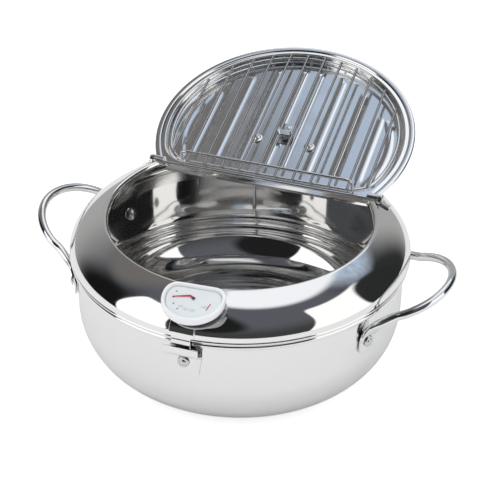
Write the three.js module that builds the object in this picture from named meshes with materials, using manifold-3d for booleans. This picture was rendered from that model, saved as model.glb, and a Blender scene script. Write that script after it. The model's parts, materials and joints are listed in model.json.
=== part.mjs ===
// Stove-top tempura fryer: pot, splash guard with hinged draining lid, wire rack and dial thermometer.
// Millimetres, +Z up. The origin is the middle of the pot's base; the front is -Y, the hinge is at +Y.
import * as THREE from "three";
import { mergeVertices } from "three/addons/utils/BufferGeometryUtils.js";
import Module from "manifold-3d";

const wasm = await Module();
wasm.setup();

// ---------- driving dimensions ----------
const GAP = 0.3; // clearance between pieces that touch
const SEAT = 0.6; // clearance of a flat rivet head on the pot's faceted wall
const TURN_STEPS = 48; // facets round the pot and the guard

const POT = {
  wallR: 119, // outside of the wall
  baseR: 79, // flat base
  cornerH: 45, // height of the rounded lower corner
  rimZ: 85,
  beadR: 122.5,
  wall: 1.2,
};
const GUARD = {
  footR: 123.3, // where the dome meets its foot
  footZ: 88,
  crestR: 99,
  crestRise: 24.7,
  lipR: 95.2,
  lipZ: 106.6,
  sheet: 1.2,
  skirtR: 117.3,
  skirtZ: 77,
};
const RECESS = {
  frontY: 54.2, // straight side of the mouth
  ridgeZ: 110,
  rampY: 54.9,
  floorY: 60.7,
  floorZ: 101.4, // deck that the folded lid lies over
  centreY: 105, // round sides of the deck
  radius: 93,
  notchHalf: 37, // notch for the lid handle
  notchY: 93,
  notchZ: 93.6,
};
const HINGE = {
  y: 52.9,
  z: 112.9,
  pinR: 1.5,
  boreR: 1.8,
  knuckleR: 3,
  knuckle: [79.6, 87.8], // from x to x on each side
  lug: [88.3, 90],
  saddleX: 97, // outer end of the strip that holds the lug on the dome
  openDeg: 16.3,
};
const LID = {
  planeZ: -1.5, // flange, measured from the hinge axis along the lid's normal
  centreV: 51.1, // centre of the round edge, measured from the hinge axis
  edgeR: 100,
  chordV: -1.5,
  mouthR: 91.5,
  depth: 9,
  sheet: 1,
  ribRise: 0.8,
  rivetU: 21.6,
  rivetV: 48.5,
};
const RACK = {
  loopR: 87.5,
  loopV: 5,
  loopCorner: 22,
  loopWire: 1.3, // wire radii
  wire: 1,
  railWire: 1.2,
  pitch: 14,
  count: 12,
  overhang: 2.6,
  railHalf: 66,
  railRise: 11.2,
};
const STRAP = { width: 14, sheet: 1.5, rise: 20.7, half: 30 }; // the lid's own handle
const CLIP = { rivetV: 64, halfWidth: 5.6 }; // holds the rack's middle wires
const HANDLE = {
  rodR: 3.2,
  footDeg: 24.5,
  rivetZ: 59.5,
  footWidth: 15,
  footLow: 48,
  footHigh: 75,
  footSheet: 2,
};
const HANDLE_SIDES = {
  left: { side: -1, reach: 153, tipZ: 94.5, rootZ: 76, half: 42 },
  right: { side: 1, reach: 155.5, tipZ: 90, rootZ: 71.5, half: 41 },
};
const CATCH = {
  x: 2,
  width: 25,
  sheet: 1.2,
  outR: 126.3, // inner face where the plate stands clear of the wall
  topZ: 82.6,
  lowZ: 56,
  rivetZ: 66.6,
  tongueWidth: 13.5,
  clipWidth: 17.5,
};
const RIVET = { shankR: 2.2, holeR: 2.5, headR: 4.2, innerHeadR: 5 };
const LID_RIVET = { shankR: 1.8, holeR: 2.1, headR: 3.6, innerHeadR: 3.8 };
const CLIP_RIVET = { shankR: 1.4, holeR: 1.7, headR: 2.8, innerHeadR: 2.8 };
const DIAL = {
  hub: [7.2, -113.8, 114.5],
  tiltDeg: 11,
  turnDeg: 3.6,
  caseR: 22.3,
  flatY: 14,
  stemR: 2.4,
  stemBore: 1.7,
  stemLength: 88,
  pointerDeg: 185,
  pointerLength: 14,
};

// ---------- materials ----------
const polished = new THREE.MeshStandardMaterial({ color: 0xd9dadb, metalness: 1, roughness: 0.08 });
const wireSteel = new THREE.MeshStandardMaterial({ color: 0xc9c8c6, metalness: 1, roughness: 0.2 });
const rivetSteel = new THREE.MeshStandardMaterial({ color: 0xcfcfcf, metalness: 1, roughness: 0.25 });
const dialWhite = new THREE.MeshStandardMaterial({ color: 0xf6f7f8, metalness: 0, roughness: 0.5 });
const windowGlass = new THREE.MeshStandardMaterial({ color: 0xeef4f8, transparent: true, opacity: 0.3 });
const pointerRed = new THREE.MeshStandardMaterial({ color: 0xc8203c, metalness: 0, roughness: 0.45 });
const bimetal = new THREE.MeshStandardMaterial({ color: 0xb08a52, metalness: 1, roughness: 0.4 });

// ---------- solids ----------
function solid(geometry) {
  const bare = geometry.index ? geometry.clone() : geometry;
  bare.deleteAttribute("normal");
  bare.deleteAttribute("uv");
  const merged = mergeVertices(bare, 1e-3);
  return new wasm.Manifold(
    new wasm.Mesh({
      numProp: 3,
      vertProperties: new Float32Array(merged.attributes.position.array),
      triVerts: new Uint32Array(merged.index.array),
    }),
  );
}

function geometryOf(manifold) {
  const mesh = manifold.getMesh();
  const geometry = new THREE.BufferGeometry();
  geometry.setAttribute("position", new THREE.BufferAttribute(mesh.vertProperties, 3));
  geometry.setIndex(new THREE.BufferAttribute(mesh.triVerts, 1));
  return geometry;
}

const joined = (...solids) => solids.reduce((whole, next) => whole.add(next));

function signedArea(points) {
  return points.reduce((sum, p, i) => {
    const q = points[(i + 1) % points.length];
    return sum + (p[0] * q[1] - q[0] * p[1]) / 2;
  }, 0);
}

// Turns a profile of [radius, height] points about Z. It may start and end on the axis or be a ring.
function turned(profile, steps = TURN_STEPS) {
  const points = signedArea(profile) > 0 ? [...profile] : [...profile].reverse();
  const onAxis = profile[0][0] === 0 && profile[profile.length - 1][0] === 0;
  if (onAxis && points[0][0] !== 0) throw new Error("profile must start on the axis");
  if (!onAxis) points.push(points[0]);
  const geometry = new THREE.LatheGeometry(points.map(([r, h]) => new THREE.Vector2(r, h)), steps);
  return geometry.rotateX(Math.PI / 2);
}

// Extrudes an outline of [a, b] points along +Z by a length.
function extruded(outline, length, curveSegments = 6) {
  const given = outline instanceof THREE.Shape;
  const shape = given ? outline : new THREE.Shape(outline.map((p) => new THREE.Vector2(...p)));
  return new THREE.ExtrudeGeometry(shape, { depth: length, bevelEnabled: false, curveSegments });
}

// A profile of [y, z] points, extruded along X and centred on x.
function barAlongX(profile, width, x = 0) {
  const geometry = extruded(profile, width);
  const axes = new THREE.Matrix4().makeBasis(
    new THREE.Vector3(0, 1, 0),
    new THREE.Vector3(0, 0, 1),
    new THREE.Vector3(1, 0, 0),
  );
  return geometry.applyMatrix4(axes).translate(x - width / 2, 0, 0);
}

function block([x0, x1], [y0, y1], [z0, z1]) {
  const geometry = new THREE.BoxGeometry(x1 - x0, y1 - y0, z1 - z0);
  return geometry.translate((x0 + x1) / 2, (y0 + y1) / 2, (z0 + z1) / 2);
}

function rod(radius, low, high, sides = 16) {
  const geometry = new THREE.CylinderGeometry(radius, radius, high - low, sides);
  return geometry.rotateX(Math.PI / 2).translate(0, 0, (low + high) / 2);
}

function circleShape(radius, sides) {
  return new THREE.Shape(
    Array.from({ length: sides }, (_, i) => {
      const angle = (2 * Math.PI * i) / sides;
      return new THREE.Vector2(radius * Math.cos(angle), radius * Math.sin(angle));
    }),
  );
}

function bentRod(curve, radius, steps, sides = 8) {
  const options = { extrudePath: curve, steps, bevelEnabled: false };
  return new THREE.ExtrudeGeometry(circleShape(radius, sides), options);
}

// Thickens an open line of [a, b] points to one side, which gives the section of a bent sheet.
function sheetSection(line, thickness) {
  const normals = line.slice(1).map((p, i) => {
    const along = [p[0] - line[i][0], p[1] - line[i][1]];
    const length = Math.hypot(...along);
    return [along[1] / length, -along[0] / length];
  });
  const offset = line.map((p, i) => {
    const before = normals[Math.max(i - 1, 0)];
    const after = normals[Math.min(i, normals.length - 1)];
    const share = 1 + before[0] * after[0] + before[1] * after[1];
    return [
      p[0] + (thickness * (before[0] + after[0])) / share,
      p[1] + (thickness * (before[1] + after[1])) / share,
    ];
  });
  return [...line, ...offset.reverse()];
}

// Joins closed loops of equal length into one skin, and closes its two ends with fans.
function lofted(loops) {
  const count = loops[0].length;
  const position = loops.flat(2);
  const index = [];
  for (let ring = 0; ring + 1 < loops.length; ring += 1) {
    for (let i = 0; i < count; i += 1) {
      const a = ring * count + i;
      const b = ring * count + ((i + 1) % count);
      index.push(a, b, b + count, a, b + count, a + count);
    }
  }
  const last = (loops.length - 1) * count;
  for (let i = 1; i + 1 < count; i += 1) {
    index.push(0, i + 1, i, last, last + i, last + i + 1);
  }
  const geometry = new THREE.BufferGeometry();
  geometry.setAttribute("position", new THREE.Float32BufferAttribute(position, 3));
  return geometry.setIndex(index);
}

// A circle with one side cut straight and its two corners rounded, counter-clockwise.
function dOutline({ radius, centre, chord, corner }, arcSteps = 32, cornerSteps = 4) {
  const cornerV = chord + corner;
  const cornerU = Math.sqrt((radius - corner) ** 2 - (centre - cornerV) ** 2);
  const meet = Math.atan2(cornerV - centre, cornerU);
  const points = [];
  for (let i = 0; i <= cornerSteps; i += 1) {
    const angle = -Math.PI / 2 + ((meet + Math.PI / 2) * i) / cornerSteps;
    points.push([cornerU + corner * Math.cos(angle), cornerV + corner * Math.sin(angle)]);
  }
  for (let i = 1; i < arcSteps; i += 1) {
    const angle = meet + ((Math.PI - 2 * meet) * i) / arcSteps;
    points.push([radius * Math.cos(angle), centre + radius * Math.sin(angle)]);
  }
  const mirrored = points.slice(0, cornerSteps + 1).map(([u, v]) => [-u, v]);
  return [...points, ...mirrored.reverse()];
}

const atHeight = (outline, height) => outline.map(([a, b]) => [a, b, height]);

const parts = new THREE.Group();
const lidGroup = new THREE.Group();
const dialGroup = new THREE.Group();

function place(group, name, geometry, material) {
  const mesh = new THREE.Mesh(geometry, material);
  mesh.name = name;
  group.add(mesh);
  return mesh;
}

// ---------- pot ----------
function cornerArc(inset, steps = 7) {
  return Array.from({ length: steps + 1 }, (_, i) => {
    const angle = -Math.PI / 2 + (Math.PI / 2) * (i / steps);
    const across = POT.wallR - POT.baseR - inset;
    const up = POT.cornerH - inset;
    return [POT.baseR + across * Math.cos(angle), POT.cornerH + up * Math.sin(angle)];
  });
}

const radial = (degrees, radius, z) => {
  const angle = THREE.MathUtils.degToRad(degrees);
  return new THREE.Vector3(radius * Math.cos(angle), radius * Math.sin(angle), z);
};

// Turns something built along +Z so that +Z points out of the pot at the given place.
function outward(geometry, degrees, radius, z) {
  const angle = THREE.MathUtils.degToRad(degrees);
  return geometry
    .rotateX(Math.PI / 2)
    .rotateZ(Math.PI / 2 + angle)
    .translate(...radial(degrees, radius, z));
}

const handleFeet = Object.values(HANDLE_SIDES).flatMap(({ side }) =>
  [-1, 1].map((end) => (side > 0 ? 0 : 180) + end * HANDLE.footDeg),
);
const catchDeg = -90 + THREE.MathUtils.radToDeg(CATCH.x / POT.wallR);

function potBody() {
  const { wallR, rimZ, beadR, wall } = POT;
  const inner = wallR - wall;
  const profile = [
    [0, 0],
    ...cornerArc(0),
    [wallR, rimZ - 4.4],
    [beadR - 1, rimZ - 3.8],
    [beadR, rimZ - 2.7],
    [beadR, rimZ - 1.2],
    [beadR - 1, rimZ - 0.2],
    [beadR - 2.2, rimZ],
    [inner + 0.6, rimZ],
    [inner, rimZ - 0.5],
    ...cornerArc(wall).reverse(),
    [0, wall],
  ];
  let body = solid(turned(profile));
  for (const degrees of handleFeet) {
    body = body.subtract(solid(outward(rod(RIVET.holeR, -5, 5), degrees, wallR, HANDLE.rivetZ)));
  }
  return body.subtract(solid(outward(rod(RIVET.holeR, -5, 5), catchDeg, wallR, CATCH.rivetZ)));
}

place(parts, "pot_body", geometryOf(potBody()), polished);

// A rivet along +Z: inner head under z = 0, shank, and outer head from z = grip up.
function rivet(grip, { shankR, headR, innerHeadR }, headRise = 2, innerRise = 3) {
  return turned(
    [
      [0, -innerRise],
      [innerHeadR * 0.7, -innerRise * 0.75],
      [innerHeadR, 0],
      [shankR, 0],
      [shankR, grip],
      [headR, grip],
      [headR * 0.7, grip + headRise * 0.75],
      [0, grip + headRise],
    ],
    14,
  );
}

// ---------- handles ----------
function handleFoot(degrees) {
  const height = HANDLE.footHigh - HANDLE.footLow;
  const half = HANDLE.footWidth / 2;
  const round = 5;
  const shape = new THREE.Shape();
  shape.moveTo(-half + round, -height / 2);
  shape.lineTo(half - round, -height / 2);
  shape.absarc(half - round, -height / 2 + round, round, -Math.PI / 2, 0);
  shape.lineTo(half, height / 2 - round);
  shape.absarc(half - round, height / 2 - round, round, 0, Math.PI / 2);
  shape.lineTo(-half + round, height / 2);
  shape.absarc(-half + round, height / 2 - round, round, Math.PI / 2, Math.PI);
  shape.lineTo(-half, -height / 2 + round);
  shape.absarc(-half + round, -height / 2 + round, round, Math.PI, 1.5 * Math.PI);
  const plate = extruded(shape, HANDLE.footSheet, 4);
  const middle = (HANDLE.footLow + HANDLE.footHigh) / 2;
  return solid(outward(plate, degrees, POT.wallR + GAP, middle));
}

// The rod leaves one foot, loops out and up, and comes back to the other foot.
function handleCurve({ side, reach, tipZ, rootZ, half }) {
  const footY = (POT.wallR + 3) * Math.sin(THREE.MathUtils.degToRad(HANDLE.footDeg));
  const footX = (POT.wallR + 3) * Math.cos(THREE.MathUtils.degToRad(HANDLE.footDeg));
  const rootX = POT.wallR - 2;
  const points = [];
  for (let i = -4; i <= 4; i += 1) {
    const angle = (i / 4.6) * (Math.PI / 2);
    const share = Math.cos(angle) ** 0.95;
    points.push(
      new THREE.Vector3(
        side * (rootX + (reach - rootX) * share),
        half * Math.sin(angle),
        rootZ + (tipZ - rootZ) * share,
      ),
    );
  }
  const lead = [
    [footX, footY, HANDLE.rivetZ + 6],
    [footX + 2.6, footY - 2.6, (HANDLE.rivetZ + 6 + rootZ) / 2],
  ];
  const start = lead.map(([x, y, z]) => new THREE.Vector3(side * x, -y, z));
  const end = lead.map(([x, y, z]) => new THREE.Vector3(side * x, y, z)).reverse();
  return new THREE.CatmullRomCurve3([...start, ...points, ...end], false, "centripetal");
}

for (const [name, options] of Object.entries(HANDLE_SIDES)) {
  const middle = options.side > 0 ? 0 : 180;
  const keepOut = solid(rod(POT.wallR + GAP, 0, 100, TURN_STEPS));
  let handle = solid(bentRod(handleCurve(options), HANDLE.rodR, 34, 8));
  for (const end of [-1, 1]) {
    handle = handle.add(handleFoot(middle + end * HANDLE.footDeg));
  }
  handle = handle.subtract(keepOut);
  for (const [where, end] of [["front", -1], ["back", 1]]) {
    const degrees = middle + options.side * end * HANDLE.footDeg;
    const headRoom = rod(RIVET.headR + 2 * GAP, HANDLE.footSheet + GAP / 2, 12);
    const room = outward(headRoom, degrees, POT.wallR + GAP, HANDLE.rivetZ);
    const hole = outward(rod(RIVET.holeR, -5, 5), degrees, POT.wallR + GAP, HANDLE.rivetZ);
    handle = handle.subtract(solid(hole)).subtract(solid(room));
    const grip = HANDLE.footSheet + POT.wall + 2 * GAP + SEAT;
    const made = outward(rivet(grip, RIVET), degrees, POT.wallR - POT.wall - SEAT, HANDLE.rivetZ);
    place(parts, `handle_rivet_${name}_${where}`, made, rivetSteel);
  }
  place(parts, `handle_${name}`, geometryOf(handle), polished);
}

// ---------- front catch on the pot ----------
function catchPlate() {
  const foot = POT.wallR + GAP;
  const line = [
    [-foot, CATCH.lowZ],
    [-foot, CATCH.rivetZ + 5],
    [-CATCH.outR, CATCH.rivetZ + 10],
    [-CATCH.outR, CATCH.topZ],
  ];
  const plate = solid(barAlongX(sheetSection(line, -CATCH.sheet), CATCH.width, CATCH.x));
  const hole = outward(rod(RIVET.holeR, -6, 6), catchDeg, POT.wallR, CATCH.rivetZ);
  const wall = rod(POT.wallR + GAP, 0, 100, TURN_STEPS);
  return plate.subtract(solid(hole)).subtract(solid(wall));
}

place(parts, "catch_plate", geometryOf(catchPlate()), polished);
const catchGrip = CATCH.sheet + POT.wall + 2 * GAP + SEAT;
const catchRivet = rivet(catchGrip, { ...RIVET, innerHeadR: 4.6 }, 1.8, 2.4);
place(
  parts,
  "catch_rivet",
  outward(catchRivet, catchDeg, POT.wallR - POT.wall - SEAT, CATCH.rivetZ),
  rivetSteel,
);

// ---------- splash guard ----------
// The dome's section is a parabola; share runs from 0 at its foot to 1 at its crest.
function domePoint(share, offset = 0) {
  const { footR, footZ, crestR, crestRise } = GUARD;
  const slope = [crestRise, 2 * (footR - crestR) * share];
  const length = Math.hypot(...slope);
  return [
    footR - (footR - crestR) * share ** 2 + (offset * slope[0]) / length,
    footZ + crestRise * share + (offset * slope[1]) / length,
  ];
}

function domeLine(offset, steps = 10) {
  return Array.from({ length: steps + 1 }, (_, i) => domePoint(i / steps, offset));
}

// Everything under the dome's outer face, grown by an offset.
function underDome(offset) {
  const line = domeLine(offset);
  const top = line[line.length - 1][1];
  return solid(turned([[0, GUARD.footZ - 2], [line[0][0], GUARD.footZ - 2], ...line, [0, top]]));
}

function guardRing() {
  const { footR, footZ, lipR, lipZ, skirtR, skirtZ, sheet } = GUARD;
  const crest = domePoint(1);
  const line = [
    [lipR, lipZ],
    [lipR, crest[1] - 3.4],
    [lipR + 0.3, crest[1] - 1.6],
    [lipR + 1.1, crest[1] - 0.4],
    [lipR + 2.3, crest[1] + 0.1],
    ...domeLine(0).reverse(),
    [footR, footZ - 2],
    [footR - 0.6, POT.rimZ + GAP],
    [skirtR, POT.rimZ + GAP],
    [skirtR, skirtZ],
  ];
  return solid(turned(sheetSection(line, sheet)));
}

// The bay behind the hinge that takes the dished lid, with a notch for the lid's handle.
function bay(grow) {
  const { frontY, ridgeZ, rampY, floorY, floorZ, centreY, radius, notchHalf, notchY, notchZ } = RECESS;
  const rampShift = grow * Math.tan(Math.atan2(ridgeZ - floorZ, floorY - rampY) / 2);
  const beyond = 130;
  const profile = [
    [frontY - grow, beyond],
    [frontY - grow, ridgeZ - grow],
    [rampY - rampShift, ridgeZ - grow],
    [floorY - rampShift, floorZ - grow],
    [beyond, floorZ - grow],
    [beyond, beyond],
  ];
  const round = solid(rod(radius + grow, 80, beyond, TURN_STEPS).translate(0, centreY, 0));
  const basin = solid(barAlongX(profile, 2 * beyond)).intersect(round);
  const half = notchHalf + grow;
  const notch = solid(block([-half, half], [notchY - grow, beyond], [notchZ - grow, beyond]));
  return basin.add(notch);
}

const slotX = [76, 93];
const slotY = [48.5, 60];

// Makes the thermometer's pieces stand on the guard: local origin at the pointer's hub.
dialGroup.position.set(...DIAL.hub);
dialGroup.rotation.set(
  THREE.MathUtils.degToRad(DIAL.tiltDeg),
  0,
  THREE.MathUtils.degToRad(DIAL.turnDeg),
  "ZXY",
);
dialGroup.updateMatrix();

function splashGuard() {
  const { sheet, lipR, lipZ } = GUARD;
  const cut = bay(0);
  const lining = bay(sheet).subtract(cut).intersect(underDome(0));
  const straightLip = solid(
    block([-lipR, lipR], [RECESS.frontY - sheet, RECESS.frontY], [lipZ, RECESS.ridgeZ - sheet / 2]),
  ).intersect(solid(rod(lipR + sheet / 2, 100, 120, TURN_STEPS)));
  let guard = joined(guardRing().subtract(cut), lining, straightLip);
  const ridge = block([-slotX[1], slotX[1]], [RECESS.frontY - 2, slotY[1]], [RECESS.ridgeZ, 130]);
  guard = guard.subtract(solid(ridge));
  for (const side of [-1, 1]) {
    const along = [side * slotX[0], side * slotX[1]].sort((a, b) => a - b);
    guard = guard.subtract(solid(block(along, slotY, [RECESS.ridgeZ - 1.5, 130])));
  }
  const stemHole = rod(DIAL.stemR + 2.4, -25, 0).applyMatrix4(dialGroup.matrix);
  return guard.subtract(solid(stemHole));
}

place(parts, "splash_guard", geometryOf(splashGuard()), polished);

// The clip lies on the dome, steps over the rim's bead and drops its tongue behind the catch plate.
function latchClip() {
  const outer = [0.42, 0.32, 0.22, 0.12, 0.02].map((share) => domePoint(share, 0.55));
  const reach = 124.4;
  const tongue = [
    [-reach, GUARD.footZ - 1.5],
    [-reach, CATCH.topZ - 6.5],
  ];
  const line = [...outer.map(([r, z]) => [-r, z]), ...tongue];
  const whole = solid(barAlongX(sheetSection(line, 1), CATCH.clipWidth, CATCH.x));
  const beside = (CATCH.clipWidth + CATCH.tongueWidth) / 4;
  const trim = (CATCH.clipWidth - CATCH.tongueWidth) / 2;
  const cuts = [-1, 1].map((side) => {
    const middle = CATCH.x + side * (beside + trim / 2);
    return solid(block([middle - trim, middle + trim], [-130, -118], [70, GUARD.footZ + 2]));
  });
  return whole.subtract(cuts[0]).subtract(cuts[1]);
}

place(parts, "latch_clip", geometryOf(latchClip()), polished);

// ---------- hinge ----------
function hingeBracket(side) {
  const { lug, saddleX } = HINGE;
  const half = HINGE.knuckleR + 0.4;
  const shape = new THREE.Shape();
  shape.moveTo(HINGE.y - half, 104);
  shape.lineTo(HINGE.y + half, 104);
  shape.lineTo(HINGE.y + half, HINGE.z);
  shape.absarc(HINGE.y, HINGE.z, half, 0, Math.PI);
  shape.lineTo(HINGE.y - half, 104);
  const middle = side * (lug[0] + lug[1]) / 2;
  const plate = solid(barAlongX(shape, lug[1] - lug[0], middle)).subtract(underDome(GAP));
  const strip = [side * lug[0], side * saddleX].sort((a, b) => a - b);
  const saddle = solid(block(strip, [49, 60], [98, 116]));
  const skin = underDome(1.5).subtract(underDome(GAP));
  const bore = rod(HINGE.boreR, -100, 100).rotateY(Math.PI / 2).translate(0, HINGE.y, HINGE.z);
  const headRoom = rod(3, lug[1], 92.3).rotateY((side * Math.PI) / 2).translate(0, HINGE.y, HINGE.z);
  return joined(plate, saddle.intersect(skin)).subtract(solid(bore)).subtract(solid(headRoom));
}

function hingePin(side) {
  const start = HINGE.knuckle[0] - 0.4;
  const head = HINGE.lug[1] + GAP;
  const profile = [
    [0, start],
    [HINGE.pinR, start],
    [HINGE.pinR, head],
    [2.6, head],
    [2.6, head + 0.9],
    [0, head + 1.5],
  ];
  return turned(profile, 16)
    .rotateY((side * Math.PI) / 2)
    .translate(0, HINGE.y, HINGE.z);
}

for (const [name, side] of [["left", -1], ["right", 1]]) {
  place(parts, `hinge_bracket_${name}`, geometryOf(hingeBracket(side)), polished);
  place(parts, `hinge_pin_${name}`, hingePin(side), rivetSteel);
}

// ---------- lid: local X along the hinge, local Y away from it, local Z out of the dish ----------
lidGroup.position.set(0, HINGE.y, HINGE.z);
lidGroup.rotation.x = THREE.MathUtils.degToRad(HINGE.openDeg);

function lidLoop(inset, chordInset, corner, height) {
  const outline = dOutline({
    radius: LID.edgeR - inset,
    centre: LID.centreV,
    chord: LID.chordV + chordInset,
    corner,
  });
  return atHeight(outline, LID.planeZ + height);
}

// Sections from the middle of the dish's inner face, out to the flange's edge, and back underneath.
function lidSkin() {
  const half = LID.sheet / 2;
  const floor = -LID.depth;
  const wall = LID.edgeR - LID.mouthR;
  return lofted([
    lidLoop(wall + 3.6, 11.5, 17, floor + half),
    lidLoop(wall + 1.9, 8.9, 18.5, floor + 1.2),
    lidLoop(wall + 1, 7, 20, floor + 3),
    lidLoop(wall + 0.4, 4.6, 22, -2),
    lidLoop(wall, 3.9, 23, half - 0.4),
    lidLoop(wall - 1, 3.1, 24, half),
    lidLoop(1.6, 1, 4, half),
    lidLoop(1.2, 0.9, 3.6, half + 0.8),
    lidLoop(0.4, 0.3, 3, half + 0.8),
    lidLoop(0, 0, 2.6, half + 0.2),
    lidLoop(0, 0, 2.6, -half),
    lidLoop(wall - 1.3, 2.8, 24, -half),
    lidLoop(wall - 0.6, 3.4, 23, -2.3),
    lidLoop(wall, 5.9, 21, floor + 2.8),
    lidLoop(wall + 0.9, 8, 19.5, floor + 0.5),
    lidLoop(wall + 3.6, 11.1, 17, floor - half),
  ].reverse());
}

// Straight ribs pressed into the dish's floor.
function lidRibs() {
  const low = LID.planeZ - LID.depth;
  const top = low + LID.sheet / 2 + LID.ribRise;
  const halfWidth = 2.6;
  const ribs = [];
  for (const middle of [6.6, 26.6, 46.6, 66.6]) {
    const reach = Math.sqrt(78 ** 2 - middle ** 2);
    const along = [Math.max(LID.centreV - reach, 20), LID.centreV + reach];
    for (const u of [-middle, middle]) {
      ribs.push(block([u - halfWidth, u + halfWidth], along, [low, top]));
    }
  }
  return ribs.map(solid);
}

function lidPan() {
  const { knuckleR, boreR } = HINGE;
  let pan = joined(solid(lidSkin()), ...lidRibs());
  for (const side of [-1, 1]) {
    const knuckle = rod(knuckleR, ...HINGE.knuckle).rotateY((side * Math.PI) / 2);
    pan = pan.add(solid(knuckle));
  }
  const bore = rod(boreR, -100, 100).rotateY(Math.PI / 2);
  pan = pan.subtract(solid(bore));
  for (const side of [-1, 1]) {
    const clear = [side * 88, side * 110].sort((a, b) => a - b);
    pan = pan.subtract(solid(block(clear, [-6, 4.2], [-6, 6])));
    const hole = rod(LID_RIVET.holeR, -20, 0).translate(side * LID.rivetU, LID.rivetV, 0);
    pan = pan.subtract(solid(hole));
  }
  return pan.subtract(solid(rod(CLIP_RIVET.holeR, -20, 0).translate(0, CLIP.rivetV, 0)));
}

const floorIn = LID.planeZ - LID.depth + LID.sheet / 2; // inner face of the dish's floor
const floorOut = LID.planeZ - LID.depth - LID.sheet / 2;
const ribTop = floorIn + LID.ribRise;
place(lidGroup, "lid_pan", geometryOf(lidPan()), polished);

function lidHandle() {
  const { width, sheet, rise, half } = STRAP;
  const top = floorOut - GAP;
  const right = [
    [12, top],
    [half - 3, top],
    [half, top - 3],
    [half, top - rise + 4],
    [half - 4, top - rise],
  ];
  const left = right.map(([u, w]) => [-u, w]).reverse();
  const section = extruded(sheetSection([...right, ...left], sheet), width)
    .rotateX(Math.PI / 2)
    .translate(0, LID.rivetV + width / 2, 0);
  let strap = solid(section);
  for (const side of [-1, 1]) {
    const hole = rod(LID_RIVET.holeR, top - 4, top + 4).translate(side * LID.rivetU, LID.rivetV, 0);
    strap = strap.subtract(solid(hole));
  }
  return strap;
}

place(lidGroup, "lid_handle", geometryOf(lidHandle()), polished);
for (const [name, side] of [["left", -1], ["right", 1]]) {
  const under = floorOut - STRAP.sheet - 2 * GAP;
  const grip = ribTop + GAP - under;
  const made = rivet(grip, LID_RIVET, 2, 1.6).translate(side * LID.rivetU, LID.rivetV, under);
  place(lidGroup, `lid_rivet_${name}`, made, rivetSteel);
}

// ---------- rack clip: a folded strip whose two ears press against the middle wires ----------
const wireW = LID.planeZ + 1.7; // centre of the rack's straight wires
const loopW = wireW - RACK.wire - RACK.loopWire - GAP;
function rackClip() {
  const foot = ribTop + GAP;
  const shelf = wireW - RACK.wire - 1.6;
  const line = [
    [71, foot],
    [58, foot],
    [55.5, shelf],
    [45, shelf],
  ];
  const strip = solid(barAlongX(sheetSection(line, 1), 2 * CLIP.halfWidth));
  const ears = [-1, 1].map((side) => {
    const across = [side * CLIP.halfWidth, side * (CLIP.halfWidth - 1)].sort((a, b) => a - b);
    return solid(block(across, [46, 53], [shelf + 0.5, wireW + RACK.wire + 0.8]));
  });
  const hole = rod(CLIP_RIVET.holeR, foot - 4, foot + 4).translate(0, CLIP.rivetV, 0);
  return joined(strip, ...ears).subtract(solid(hole));
}

place(lidGroup, "rack_clip", geometryOf(rackClip()), polished);
const clipTop = ribTop + GAP + 1;
const clipGrip = clipTop + GAP - (floorOut - GAP);
place(
  lidGroup,
  "rack_clip_rivet",
  rivet(clipGrip, CLIP_RIVET, 1.4, 1).translate(0, CLIP.rivetV, floorOut - GAP),
  rivetSteel,
);

// ---------- draining rack ----------
function rackLoop() {
  const outline = dOutline(
    { radius: RACK.loopR, centre: LID.centreV, chord: RACK.loopV, corner: RACK.loopCorner },
    32,
    6,
  );
  const points = outline.map(([u, v]) => new THREE.Vector3(u, v, loopW));
  const curve = new THREE.CurvePath();
  points.forEach((p, i) => curve.add(new THREE.LineCurve3(p, points[(i + 1) % points.length])));
  return new THREE.TubeGeometry(curve, 72, RACK.loopWire, 6, true);
}

// Where the loop wire's outline lies at a distance u from the middle: [near the hinge, far from it].
function loopSpan(u) {
  const { loopR, loopV, loopCorner } = RACK;
  const cornerV = loopV + loopCorner;
  const cornerU = Math.sqrt((loopR - loopCorner) ** 2 - (LID.centreV - cornerV) ** 2);
  const past = Math.max(Math.abs(u) - cornerU, 0);
  const near = cornerV - Math.sqrt(loopCorner ** 2 - past ** 2);
  return [near, LID.centreV + Math.sqrt(loopR ** 2 - u ** 2)];
}

place(lidGroup, "rack_loop", rackLoop(), wireSteel);
for (let i = 0; i < RACK.count; i += 1) {
  const u = (i - (RACK.count - 1) / 2) * RACK.pitch;
  const [near, far] = loopSpan(u);
  const wire = rod(RACK.wire, near - RACK.overhang, far + RACK.overhang, 8)
    .rotateX(-Math.PI / 2)
    .translate(u, 0, wireW);
  place(lidGroup, `rack_wire_${String(i + 1).padStart(2, "0")}`, wire, wireSteel);
}

function rackRail() {
  const top = LID.planeZ + RACK.railRise;
  const foot = loopW + RACK.loopWire + RACK.railWire + 0.1;
  const bend = 3;
  const half = [
    [RACK.railHalf + 1, RACK.loopV, foot],
    [RACK.railHalf + 0.6, RACK.loopV - 0.6, top - bend],
    [RACK.railHalf - 0.6, 3.9, top - 0.7],
    [RACK.railHalf - bend, 3.7, top],
  ];
  const right = half.map((p) => new THREE.Vector3(...p));
  const left = half.map(([u, v, w]) => new THREE.Vector3(-u, v, w)).reverse();
  const curve = new THREE.CatmullRomCurve3([...right, ...left], false, "centripetal");
  return bentRod(curve, RACK.railWire, 40, 6);
}

place(lidGroup, "rack_rail", rackRail(), wireSteel);

// ---------- thermometer: local X to the right, local Y to the mouth, local Z out of the dial ----------
function dialLoop(inset, height) {
  const outline = dOutline(
    { radius: DIAL.caseR - inset, centre: 0, chord: -DIAL.flatY + inset, corner: 6 - inset * 0.6 },
    28,
    4,
  );
  return atHeight(outline.map(([a, b]) => [-a, -b]), height);
}

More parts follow.
